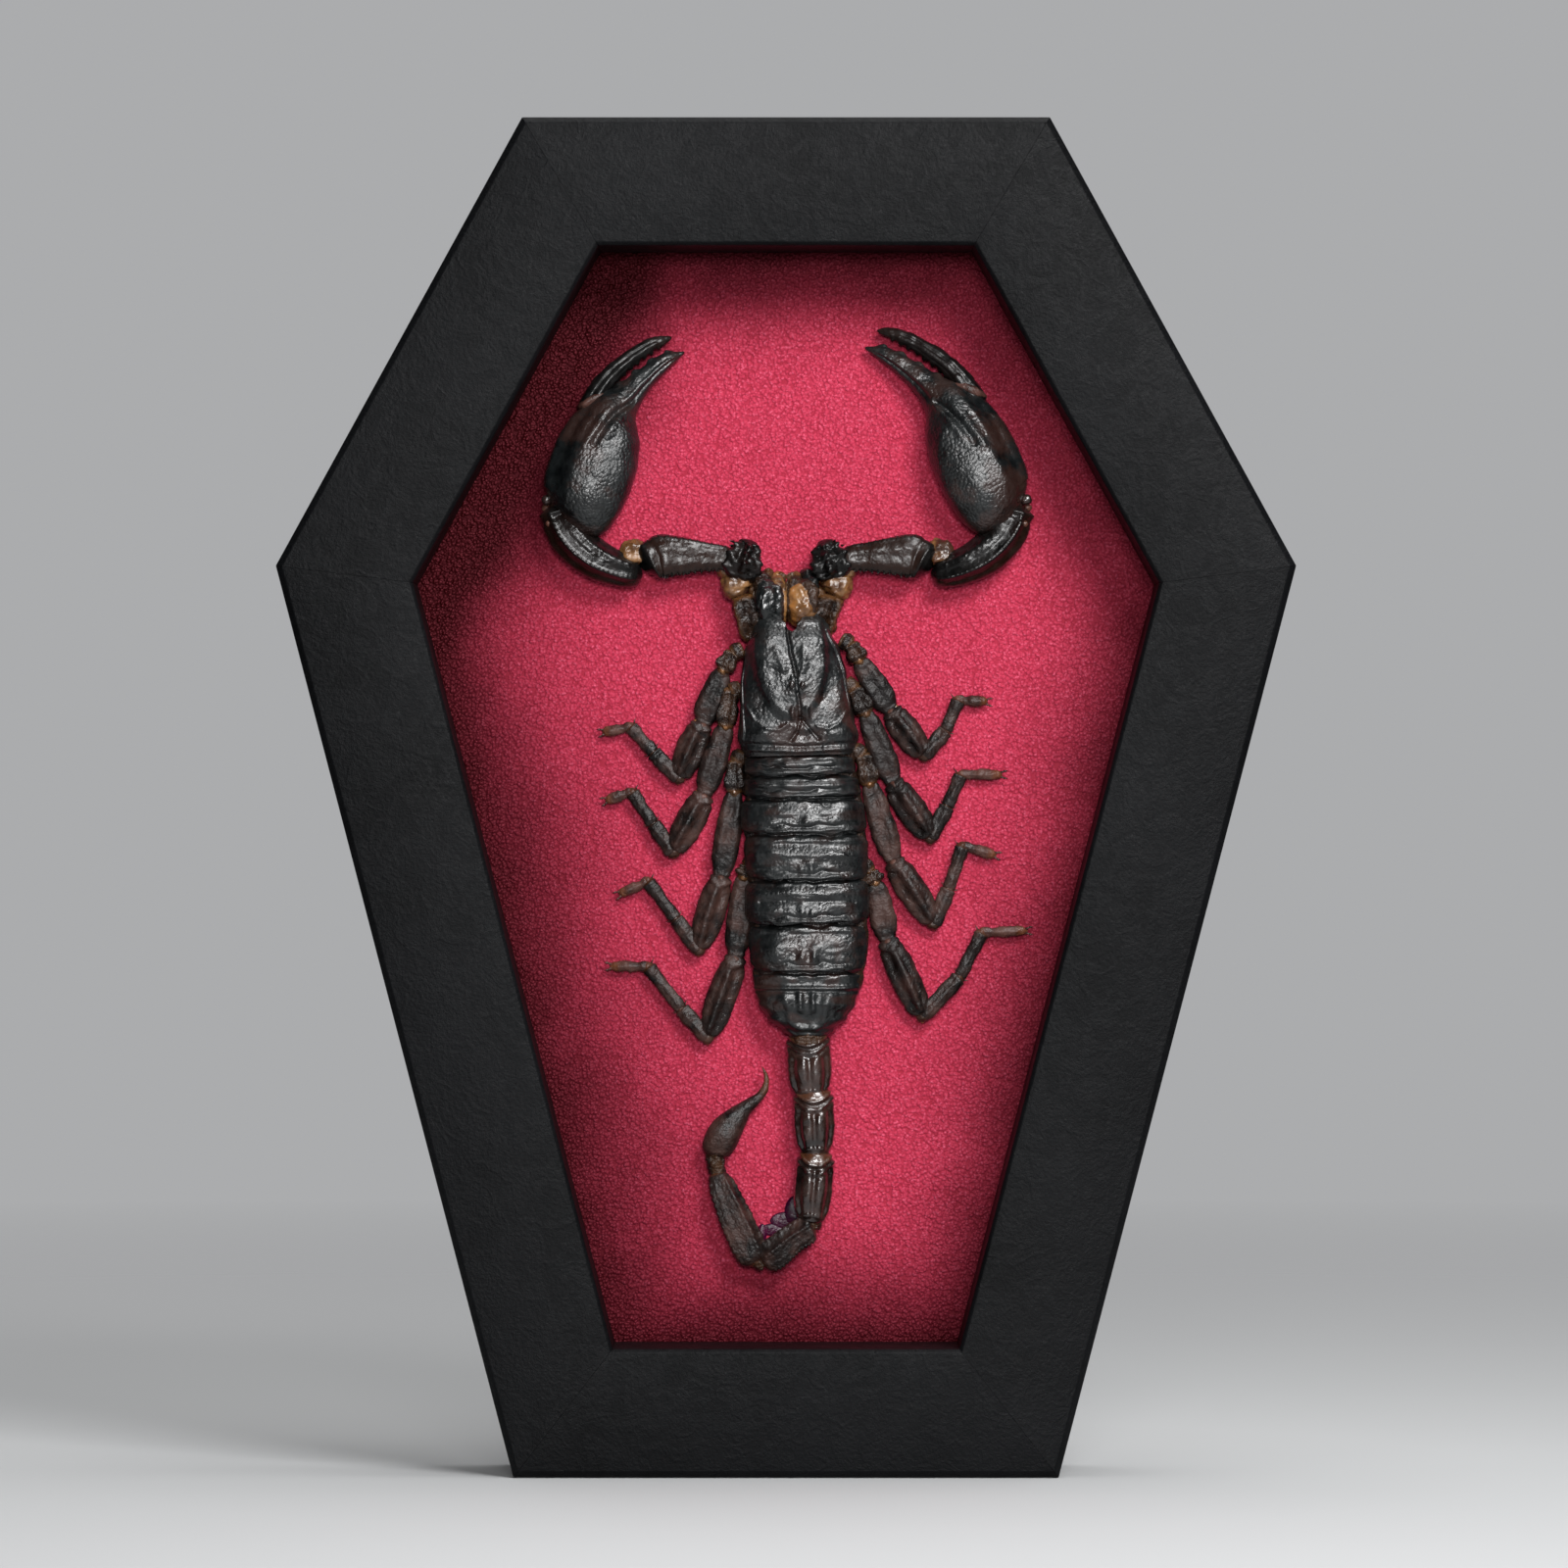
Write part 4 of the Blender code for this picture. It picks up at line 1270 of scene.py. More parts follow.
@dataclass(frozen=True)
class LegPart:
    """One segment of a leg: its girth along its length and its own form."""

    name: str
    half_width: float
    half_height: float
    profile: tuple[Point, ...]
    boxy: float = 2.4
    ridges: tuple[Ridge, ...] = ()
    collars: tuple[Collar, ...] = ()
    amber: tuple[float, float, float] = (0.04, 0.05, 0.5)
    zones: tuple[Zone, ...] = ()
    finish: int = BROWN
    gleam: float = 0.25


LEG_PARTS = (
    LegPart(
        "coxa", 1.25, 1.2, ((-0.1, 0.8), (0.5, 1.0), (1.05, 0.8)), amber=(0.3, 0.4, 0.35), finish=SIDE,
        gleam=0.7),
    LegPart(
        "trochanter", 1.35, 1.15, ((-0.15, 0.7), (0.2, 0.9), (0.6, 1.08), (0.88, 0.9), (1.1, 0.6)), boxy=3.2,
        ridges=(
            Ridge(60, 0.3, 14, 0.05, 0.95, 2, 0.2), Ridge(95, -0.3, 12, 0.1, 0.9),
            Ridge(135, 0.3, 12, 0.1, 0.95, 2, 0.25)),
        collars=(Collar(0.8, 0.2, 0.05, -0.1), Collar(0.35, -0.16, 0.08)), amber=(0.15, 0.18, 0.5),
        finish=SIDE, gleam=0.8),
    LegPart(
        "femur", 1.6, 0.95,
        ((-0.06, 0.5), (0.06, 0.72), (0.28, 0.9), (0.55, 1.02), (0.8, 0.95), (0.93, 0.72), (1.04, 0.56)),
        boxy=3.6,
        ridges=(
            Ridge(20, 0.2, 7, 0.04, 0.97), Ridge(160, 0.2, 7, 0.04, 0.97), Ridge(90, -0.2, 30, 0.12, 0.86),
            Ridge(118, 0.1, 10, 0.2, 0.8)),
        collars=(Collar(0.94, 0.12, 0.02), Collar(0.88, -0.08, 0.03)), amber=(0.03, 0.06, 0.5), gleam=0.1),
    LegPart(
        "patella", 1.85, 1.45,
        ((-0.06, 0.6), (0.03, 0.8), (0.18, 0.92), (0.42, 1.02), (0.66, 0.98), (0.88, 0.76), (1.02, 0.55)),
        boxy=2.6,
        ridges=(
            Ridge(96, 0.45, 10, 0.14, 0.97), Ridge(56, -0.45, 22, 0.12, 0.95), Ridge(12, 0.22, 9, 0.08, 0.96),
            Ridge(168, 0.2, 8, 0.08, 0.96), Ridge(125, -0.14, 10, 0.2, 0.9)),
        collars=(Collar(0.05, 0.24, 0.018, 0.1), Collar(0.11, -0.2, 0.018, 0.11)), amber=(0.0, 0.05, 0.6),
        zones=(Zone(50.0, 32.0, grain=0.2, gleam=1.0, joint=0.0, start=0.1, end=0.98),), gleam=0.2),
    LegPart(
        "tibia", 1.08, 0.92,
        ((-0.08, 0.7), (0.1, 0.98), (0.4, 0.92), (0.7, 1.02), (0.92, 0.94), (1.04, 0.75)), boxy=3.0,
        ridges=(Ridge(84, 0.16, 10), Ridge(28, 0.14, 9), Ridge(150, 0.12, 9), Ridge(112, -0.12, 10)),
        collars=(Collar(0.93, 0.12, 0.03), Collar(0.84, -0.06, 0.03)), amber=(0.06, 0.06, 0.45)),
    LegPart(
        "metatarsus", 0.92, 0.8,
        ((-0.05, 0.8), (0.1, 0.98), (0.5, 0.9), (0.85, 1.04), (0.95, 0.95), (1.06, 0.7)), boxy=2.9,
        ridges=(Ridge(90, 0.1, 12), Ridge(30, 0.1, 9), Ridge(150, 0.08, 9)),
        collars=(Collar(0.9, 0.14, 0.03), Collar(0.05, 0.1, 0.02)), amber=(0.05, 0.1, 0.6)),
    LegPart(
        "tarsus", 0.7, 0.6,
        ((-0.1, 0.85), (0.12, 1.0), (0.35, 0.9), (0.55, 1.06), (0.78, 1.0), (0.93, 0.75), (1.0, 0.45)),
        boxy=2.5, ridges=(Ridge(90, 0.12, 12, 0.1, 0.9, 3, 0.1),),
        collars=(Collar(0.5, 0.12, 0.05), Collar(0.3, -0.1, 0.05)), amber=(0.15, 0.3, 0.7), finish=TIP,
        gleam=0.5))


@dataclass
class Leg:
    """A walking leg: seven segments, the membranes between them, spurs, bristles and two claws."""

    side: Side
    number: int
    joints: tuple[Point, ...]
    root_lift: float = 3.2
    foot_lift: float = 1.25
    bristles_per_part: int = 10

    @property
    def name(self) -> str:
        """The leg's name, which is also its solid's."""
        return f"scorpion_leg_{self.side.word}_{self.number}"

    def lifts(self) -> list[float]:
        """The lift of each joint, which sinks from the root to the foot."""
        fall = (1.0, 0.97, 0.85, 0.5, 0.32, 0.22, 0.12, 0.0)
        return [self.foot_lift - 0.25 + (self.root_lift - self.foot_lift) * share for share in fall]

    def station(self, part: LegPart, start: Vector, end: Vector, share: float, girth: float) -> Station:
        """A station of a part between two joints given as (x, z, lift)."""
        spot = start + (end - start) * share
        width, height = part.half_width * girth, part.half_height * girth
        return Station(spot.x, spot.y, width, height, max(spot.z, height + 0.15))

    def bristle_places(self, part: Segment, chance: random.Random) -> list[tuple[Vector, Vector]]:
        """The feet and tips of a segment's bristles."""
        spine, places = Spine(part.stations), []
        for _ in range(self.bristles_per_part):
            share, edge = chance.uniform(0.1, 0.98), chance.choice((-1.0, 1.0))
            station, heading = spine.at(share), spine.heading(share)
            across = beside(heading, edge)
            spot = Vector((station.x, station.z)) + across * station.half_width * 0.85
            foot = on_lining(spot.x, spot.y, station.lift + chance.uniform(0.0, 0.4))
            lean = across * chance.uniform(0.5, 0.9) + heading * chance.uniform(0.2, 0.7)
            tip = foot + Vector((lean.x, chance.uniform(-0.5, 0.15), lean.y)) * MM * chance.uniform(0.4, 0.9)
            places.append((foot, tip))
        return places

    def build(self) -> None:
        """Builds the leg as one piece."""
        shell = Shell()
        chance = random.Random(10 * self.number + self.side.value)
        corners = [Vector((x, z, lift)) for (x, z), lift in zip(self.joints, self.lifts())]
        for index, part in enumerate(LEG_PARTS):
            start, end = corners[index], corners[index + 1]
            stations = tuple(self.station(part, start, end, share, girth) for share, girth in part.profile)
            detail = 1.4 if part.name in ("femur", "patella") else 1.0
            segment = Segment(
                stations, sides=round(26 * detail), rings=round(28 * detail), boxy=part.boxy,
                mirror=float(self.side.value), ridges=part.ridges, collars=part.collars, amber=part.amber,
                zones=part.zones, finish=part.finish,
                skin=Skin(wrinkle=0.16, wrinkle_size=1.2, granule=0.03, grain=0.5, gleam=part.gleam))
            shell.grow(segment)
            if part.name not in ("coxa", "trochanter"):
                for foot, tip in self.bristle_places(segment, chance):
                    shell.spike(foot, tip, 0.03, BROWN, 0.5)
        self.soft_joints(shell, corners)
        self.claws(shell, corners[-2], corners[-1])
        self.spurs(shell, corners)
        shell.finish(self.name.replace("scorpion_", ""), "cuticle_brown", self.name)

    def soft_joints(self, shell: Shell, corners: Sequence[Vector]) -> None:
        """Adds the knuckle between femur and patella, its orange skin, and smaller skins further out."""
        skin = Skin(wrinkle=0.12, wrinkle_size=0.6, grain=0.4, gleam=0.6)
        for index, size, finish in ((2, 0.85, SIDE), (2, 0.4, SOFT), (5, 0.72, BROWN), (6, 0.62, TIP)):
            joint = corners[index]
            lift = joint.z + (0.6 if finish is SOFT else 0.1)
            shell.bead(on_lining(joint.x, joint.y, lift), (size, size * 0.9, size), finish, skin, 0.3)
        knee, along = corners[3], (corners[4] - corners[3]).normalized()
        outer = beside(along, -float(self.side.value))
        shell.bead(
            on_lining(knee.x + along.x * 0.35, knee.y + along.y * 0.35, knee.z + 0.35), (0.85, 0.8, 0.75),
            TIP, Skin(wrinkle=0.08, wrinkle_size=0.7, grain=0.2, gleam=0.7), 0.1)
        shell.bead(
            on_lining(knee.x + outer.x * 0.75, knee.y + outer.y * 0.75, knee.z), (0.5, 0.6, 0.6), SOFT, skin,
            0.6)
        bend = corners[4]
        shell.bead(on_lining(bend.x, bend.y, bend.z), (0.95, 0.8, 0.9), BROWN, skin, 0.15)
        shell.bead(on_lining(bend.x, bend.y - 0.55, bend.z - 0.1), (0.4, 0.4, 0.4), SOFT, skin, 0.35)

    def claws(self, shell: Shell, before: Vector, tip: Vector) -> None:
        """Adds the foot's two curved claws."""
        along = Vector((tip.x - before.x, tip.y - before.y)).normalized()
        for edge in (-1.0, 1.0):
            across = beside(along, edge)
            foot = on_lining(
                tip.x - along.x * 0.3 + across.x * 0.25, tip.y - along.y * 0.3 + across.y * 0.25, tip.z + 0.1)
            bend = foot + Vector((along.x + across.x * 0.45, -0.2, along.y + across.y * 0.45)) * 0.6 * MM
            point = bend + Vector((
                along.x * 0.8 + across.x * 0.05, 0.4, along.y * 0.8 + across.y * 0.05)) * 0.6 * MM
            shell.spike(foot, bend, 0.24, TIP)
            shell.spike(bend - (bend - foot) * 0.15, point, 0.17, TIP)

    def spurs(self, shell: Shell, corners: Sequence[Vector]) -> None:
        """Adds the short spurs at the ends of the tibia and the metatarsus."""
        for index in (5, 6):
            joint, before = corners[index], corners[index - 1]
            along = Vector((joint.x - before.x, joint.y - before.y)).normalized()
            for edge in (-1.0, 1.0):
                across = beside(along, edge)
                foot = on_lining(joint.x + across.x * 0.6, joint.y + across.y * 0.6, joint.z)
                tip = foot + Vector((along.x * 0.6 + across.x, 0.1, along.y * 0.6 + across.y)) * 0.75 * MM
                shell.spike(foot, tip, 0.15, TIP)


LEG_JOINTS: dict[tuple[Side, int], tuple[Point, ...]] = {
    (Side.LEFT, 1): (
        (-6.0, 112.9), (-7.4, 112.2), (-8.7, 109.9), (-11.6, 102.5), (-14.8, 95.1), (-18.3, 98.7),
        (-21.4, 102.2), (-25.3, 101.4)),
    (Side.LEFT, 2): (
        (-6.2, 107.5), (-7.6, 106.9), (-8.3, 102.2), (-11.3, 92.7), (-15.5, 84.9), (-18.3, 88.9),
        (-21.2, 93.2), (-24.9, 92.0)),
    (Side.LEFT, 3): (
        (-5.9, 98.6), (-6.9, 97.2), (-7.1, 93.2), (-8.9, 81.4), (-12.0, 71.5), (-15.2, 75.8), (-19.0, 80.9),
        (-23.0, 79.1)),
    (Side.LEFT, 4): (
        (-4.2, 84.2), (-5.2, 82.9), (-5.8, 81.5), (-6.9, 70.4), (-10.8, 59.4), (-14.4, 63.4), (-19.0, 69.2),
        (-24.3, 69.2)),
    (Side.RIGHT, 1): (
        (7.6, 114.2), (9.0, 113.4), (10.1, 111.2), (14.5, 104.3), (19.0, 98.2), (22.0, 101.7), (23.7, 105.9),
        (27.8, 105.6)),
    (Side.RIGHT, 2): (
        (8.2, 108.4), (9.4, 107.2), (11.0, 104.0), (14.8, 94.4), (19.9, 86.9), (22.2, 91.3), (24.1, 95.6),
        (29.8, 95.6)),
    (Side.RIGHT, 3): (
        (9.3, 99.2), (10.6, 98.1), (11.5, 94.3), (14.8, 83.6), (20.3, 75.1), (22.4, 79.9), (24.3, 85.8),
        (29.0, 84.5)),
    (Side.RIGHT, 4): (
        (10.4, 83.4), (11.6, 82.1), (12.3, 80.7), (14.0, 72.7), (18.8, 62.4), (23.9, 67.8), (27.0, 73.9),
        (33.3, 74.1))}


# Arms with pincers


@dataclass
class Arm:
    """An arm with its pincer. Its stations are measured outwards from the head's middle line."""

    side: Side
    base: Point
    tip: Point
    hand_length: float = 28.2

    def in_hand(self, rows: Rows) -> tuple[Station, ...]:
        """Stations from rows of (along the hand, outwards, half width, half height, lift)."""
        base, tip = Vector(self.base), Vector(self.tip)
        along = (tip - base) / self.hand_length
        aside = beside(along, self.side.value)
        spots = [(base + along * forward + aside * out, w, h, lift) for forward, out, w, h, lift in rows]
        return tuple(Station(spot.x, spot.y, width, height, lift) for spot, width, height, lift in spots)

    @property
    def inwards(self) -> float:
        """The mirror that puts a segment's angle of 0 on the inner side of the arm's curve."""
        return -float(self.side.value)

    def upper_parts(self) -> list[Segment]:
        """The coxa and the trochanter."""
        coxa = Segment(
            self.side.out((
                (5.0, 113.8, 1.0, 1.2, 2.6), (5.2, 116.0, 1.5, 1.8, 2.9), (5.7, 118.4, 1.7, 2.1, 3.1),
                (6.1, 120.4, 1.6, 1.8, 3.0))),
            sides=44, rings=44, mirror=self.inwards, boxy=3.2, amber=(0.1, 0.16, 0.6), finish=SIDE,
            ridges=(
                Ridge(50, 0.45, 10, 0.1, 0.9, 3, 0.3), Ridge(85, -0.5, 14, 0.1, 0.9),
                Ridge(125, 0.45, 10, 0.1, 0.95, 3, 0.3), Ridge(160, -0.3, 12, 0.1, 0.9)),
            zones=(
                Zone(150.0, 26.0, grain=0.2, gleam=0.9, joint=0.55), Zone(80.0, 30.0, grain=0.3, gleam=1.0)),
            skin=Skin(wrinkle=0.45, wrinkle_size=1.3, granule=0.08, grain=0.8, gleam=0.6))
        trochanter = Segment(
            self.side.out((
                (6.7, 122.0, 1.3, 1.5, 2.9), (6.5, 122.8, 2.0, 2.2, 3.2), (6.1, 124.6, 2.4, 2.6, 3.5),
                (5.5, 126.3, 1.85, 2.2, 3.3), (5.0, 127.9, 0.9, 1.2, 2.9))),
            mirror=self.inwards, sides=56, rings=52, boxy=3.4, amber=(0.14, 0.0, 0.9), finish=ARM,
            ridges=(
                Ridge(30, 0.4, 10, 0.1, 0.95, 4, 0.4), Ridge(84, 0.4, 8, 0.1, 0.95, 5, 0.35),
                Ridge(140, 0.45, 9, 0.1, 0.95, 4, 0.4), Ridge(58, -0.35, 12, 0.15, 0.9),
                Ridge(112, -0.4, 12, 0.15, 0.9)),
            skin=Skin(wrinkle=0.45, wrinkle_size=1.1, granule=0.2, granule_size=0.7, grain=0.9, gleam=0.6))
        return [coxa, trochanter]

    def femur(self) -> Segment:
        """The femur: a flat satin top that widens to the elbow between two toothed keels."""
        return Segment(
            self.side.out((
                (7.2, 125.2, 1.1, 1.5, 3.1), (8.2, 125.3, 1.6, 1.9, 3.2), (11.5, 125.5, 2.1, 2.2, 3.3),
                (15.0, 125.6, 2.7, 2.4, 3.4), (17.2, 125.5, 3.1, 2.5, 3.4), (18.7, 124.9, 2.6, 2.3, 3.3),
                (20.0, 124.0, 1.2, 1.6, 3.0))),
            sides=72, rings=88, boxy=2.9, mirror=self.inwards, amber=(0.05, 0.0, 0.6), finish=ARM,
            ridges=(
                Ridge(144, 0.24, 6, 0.02, 0.9, 13, 0.26), Ridge(40, 0.26, 5, 0.04, 0.88, 22, 0.08),
                Ridge(90, -0.2, 36, 0.1, 0.86), Ridge(160, -0.35, 8, 0.1, 0.88)),
            collars=(Collar(0.9, 0.3, 0.03, -0.03), Collar(0.82, -0.18, 0.02, -0.03)),
            zones=(
                Zone(90.0, 50.0, grain=0.5, gleam=0.5, joint=0.55, start=0.06, end=0.84),
                Zone(90.0, 180.0, grain=0.1, gleam=1.0, start=0.88, end=1.0)),
            skin=Skin(wrinkle=0.09, wrinkle_size=2.0, granule=0.03, grain=0.7, gleam=0.6))

    def patella(self) -> Segment:
        """The patella, which curves up to the hand and has a granular keel above its red-brown flank."""
        return Segment(
            self.side.out((
                (19.8, 123.1, 1.3, 1.6, 3.0), (20.9, 123.2, 1.9, 2.2, 3.3), (23.4, 123.9, 2.4, 2.7, 3.6),
                (26.9, 125.6, 2.8, 3.0, 3.8), (29.7, 128.2, 2.85, 3.0, 3.8), (31.3, 130.9, 2.5, 2.6, 3.6),
                (31.9, 132.9, 1.7, 1.9, 3.4))),
            sides=72, rings=120, boxy=2.1, mirror=self.inwards, amber=(0.0, 0.05, 0.5), finish=ARM,
            ridges=(
                Ridge(60, 0.14, 7, 0.04, 0.94, 16, 0.06), Ridge(112, 0.42, 6, 0.02, 0.97, 26, 0.08),
                Ridge(88, -0.16, 9, 0.05, 0.93), Ridge(140, -0.35, 16, 0.06, 0.92),
                Ridge(36, -0.2, 14, 0.05, 0.9)),
            collars=(Collar(0.04, 0.26, 0.02), Collar(0.93, 0.3, 0.02), Collar(0.88, -0.16, 0.02)),
            zones=(
                Zone(152.0, 30.0, grain=0.15, gleam=0.9, joint=0.45), Zone(112.0, 12.0, grain=0.9, gleam=0.8),
                Zone(40.0, 40.0, grain=0.5, gleam=0.9)),
            skin=Skin(wrinkle=0.07, wrinkle_size=1.6, granule=0.02, granule_size=0.6, grain=0.3, gleam=0.7))

    def hand(self) -> Segment:
        """The swollen hand with its fixed finger, its keels and the long groove between them."""
        marks = (
            Field(1.5, 8.2, 4.3, 8.8, 0.5, 0.12),
            Furrow(((-0.7, 12.6), (-0.2, 15.2), (0.4, 17.6), (1.0, 20.4)), 0.34, -0.75),
            Furrow(((-1.9, 12.0), (-1.3, 15.2), (-0.5, 18.4)), 0.5, 0.3),
            Furrow(((0.6, 14.2), (1.2, 17.0), (1.6, 20.0)), 0.45, 0.3), Mark(-3.3, 3.2, 0.8, 0.9, 0.35),
            Mark(-0.9, 1.6, 1.3, 0.5, -0.4), Mark(-4.4, 2.0, 0.6, 1.1, 0.4), Mark(1.4, 5.6, 2.4, 3.0, 0.25),
            Mark(3.0, 1.2, 0.7, 0.6, 0.4))
        return Segment(
            self.in_hand((
                (-1.3, 1.0, 1.8, 1.5, 3.2), (-0.2, 0.7, 3.9, 2.7, 3.8), (2.4, 0.5, 5.4, 3.9, 4.3),
                (7.2, 1.6, 6.0, 4.2, 4.5), (12.2, 3.0, 5.35, 3.7, 4.2), (15.8, 3.6, 3.7, 3.0, 3.7),
                (18.6, 3.3, 2.2, 2.2, 3.0), (22.0, 2.7, 1.5, 1.6, 2.4), (25.9, 1.6, 1.05, 1.1, 1.8),
                (28.2, 0.2, 0.5, 0.6, 1.4))),
            sides=120, rings=140, boxy=2.2, mirror=self.inwards, amber=(0.0, 0.08, 0.3),
            ridges=(
                Ridge(119, 0.14, 4, 0.04, 0.56), Ridge(142, -0.65, 15, 0.03, 0.58),
                Ridge(80, 0.2, 12, 0.62, 0.97), Ridge(60, -0.2, 9, 0.62, 0.96),
                Ridge(168, 0.1, 12, 0.62, 0.97, 12, 0.3)),
            marks=marks,
            zones=(
                Zone(70.0, 48.0, grain=1.0, gleam=0.0, end=0.6),
                Zone(155.0, 34.0, grain=0.05, gleam=1.0, end=0.58),
                Zone(90.0, 180.0, grain=0.5, gleam=0.15, start=0.66)),
            skin=Skin(wrinkle=0.1, wrinkle_size=2.0, granule=0.045, granule_size=0.5, grain=0.5, gleam=0.4))

    def free_finger(self) -> Segment:
        """The movable finger, curved alongside the fixed one."""
        return Segment(
            self.in_hand((
                (12.2, 6.6, 0.9, 1.2, 3.2), (14.4, 6.9, 1.45, 1.8, 3.5), (19.0, 7.0, 1.3, 1.6, 3.1),
                (23.5, 5.9, 1.08, 1.25, 2.4), (27.0, 4.3, 0.85, 0.95, 1.9), (28.9, 2.8, 0.45, 0.5, 1.5))),
            sides=48, rings=80, boxy=2.4, mirror=self.inwards, amber=(0.0, 0.25, 0.3), finish=ARM,
            ridges=(
                Ridge(72, 0.14, 12, 0.1, 0.95), Ridge(8, 0.1, 12, 0.2, 0.95, 14, 0.3),
                Ridge(104, -0.16, 10, 0.12, 0.9), Ridge(50, -0.14, 8, 0.1, 0.6)),
            skin=Skin(wrinkle=0.14, wrinkle_size=1.2, granule=0.05, grain=0.6, gleam=0.3))

    def soft_joints(self) -> list[Segment]:
        """The amber skin at the shoulder and the elbow, and the pale crescent at the free finger."""
        skin = Skin(wrinkle=0.3, wrinkle_size=0.8, grain=0.5, gleam=0.5)
        plain = {
            "sides": 32, "rings": 30, "mirror": self.inwards, "finish": SOFT, "amber": (0.0, 0.0, 0.0),
            "skin": skin}
        shoulder = Segment(
            self.side.out((
                (6.3, 120.0, 1.1, 1.3, 2.8), (6.8, 121.0, 2.1, 2.1, 3.1), (6.9, 122.3, 2.1, 2.1, 3.1),
                (6.8, 123.2, 1.4, 1.5, 2.8))),
            ridges=(Ridge(90, -0.4, 16, 0.2, 0.8),), **plain)
        root = Segment(
            self.side.out((
                (7.4, 122.6, 0.9, 1.2, 2.6), (8.2, 123.6, 1.3, 1.5, 2.7), (8.6, 125.0, 1.2, 1.4, 2.8),
                (8.5, 126.4, 0.6, 0.8, 2.8))),
            **plain)
        elbow = Segment(
            self.side.out((
                (18.6, 126.2, 0.8, 1.0, 2.9), (19.9, 126.1, 1.6, 1.7, 3.1), (21.4, 126.3, 1.7, 1.8, 3.2),
                (22.9, 126.9, 0.8, 1.0, 3.0))),
            ridges=(Ridge(90, -0.5, 16, 0.2, 0.8), Ridge(130, 0.35, 12, 0.1, 0.9)), **plain)
        wrist = Segment(
            self.side.out((
                (30.0, 131.8, 1.6, 1.7, 3.2), (30.5, 132.6, 2.1, 2.0, 3.4), (30.4, 133.6, 1.5, 1.5, 3.4))),
            **{**plain, "finish": SIDE})
        crescent = Segment(
            self.in_hand((
                (13.2, 8.0, 0.3, 0.4, 3.8), (14.2, 7.6, 0.55, 0.6, 4.75), (15.7, 6.9, 0.6, 0.6, 5.0),
                (17.2, 6.0, 0.3, 0.4, 4.7))),
            **{**plain, "finish": TIP, "skin": Skin(wrinkle=0.1, wrinkle_size=0.7, grain=0.2, gleam=0.6)})
        return [shoulder, root, elbow, wrist, crescent]

    def build(self) -> None:
        """Builds the arm as one piece."""
        shell = Shell()
        femur, finger = self.femur(), self.free_finger()
        for segment in [*self.upper_parts(), femur, self.patella(), self.hand(), finger, *self.soft_joints()]:
            shell.grow(segment)
        shell.teeth(femur, 140.0, 13, 0.5, 0.06, 0.86)
        shell.teeth(femur, 34.0, 11, 0.3, 0.06, 0.86)
        self.spines(shell)
        self.wrist_knobs(shell)
        shell.finish(f"pincer_{self.side.word}", "cuticle_black", f"scorpion_pincer_{self.side.word}")

    def wrist_knobs(self, shell: Shell) -> None:
        """Adds the glossy knobs where the patella carries the hand."""
        skin = Skin(wrinkle=0.12, wrinkle_size=0.8, grain=0.2, gleam=1.0)
        knobs = (
            (32.3, 131.2, 4.9, 0.75, BLACK), (31.2, 133.4, 5.6, 0.9, BLACK), (32.9, 133.3, 4.6, 0.8, BLACK),
            (32.6, 130.0, 5.2, 0.5, TIP), (29.0, 132.2, 5.4, 0.7, BLACK), (33.1, 132.2, 3.6, 0.6, TIP))
        for out, z, lift, size, finish in knobs:
            centre = on_lining(self.side.x(out), z, lift)
            shell.bead(centre, (size, size * 0.8, size * 0.9), finish, skin, 0.2)

    def spines(self, shell: Shell) -> None:
        """Adds the short blunt spines of the trochanter."""
        chance = random.Random(5 + self.side.value)
        for _ in range(26):
            turn, z = chance.uniform(15.0, 165.0), chance.uniform(123.0, 127.4)
            reach = 2.5 - 0.35 * abs(z - 125.0)
            turned = math.radians(turn)
            away = Vector((math.cos(turned), -math.sin(turned), chance.uniform(-0.2, 0.4)))
            foot = on_lining(self.side.x(6.0), z, 3.3) + away * (reach - 0.25) * MM
            shell.spike(foot, foot + away * chance.uniform(0.45, 0.8) * MM, 0.2, BLACK)


# Jaws


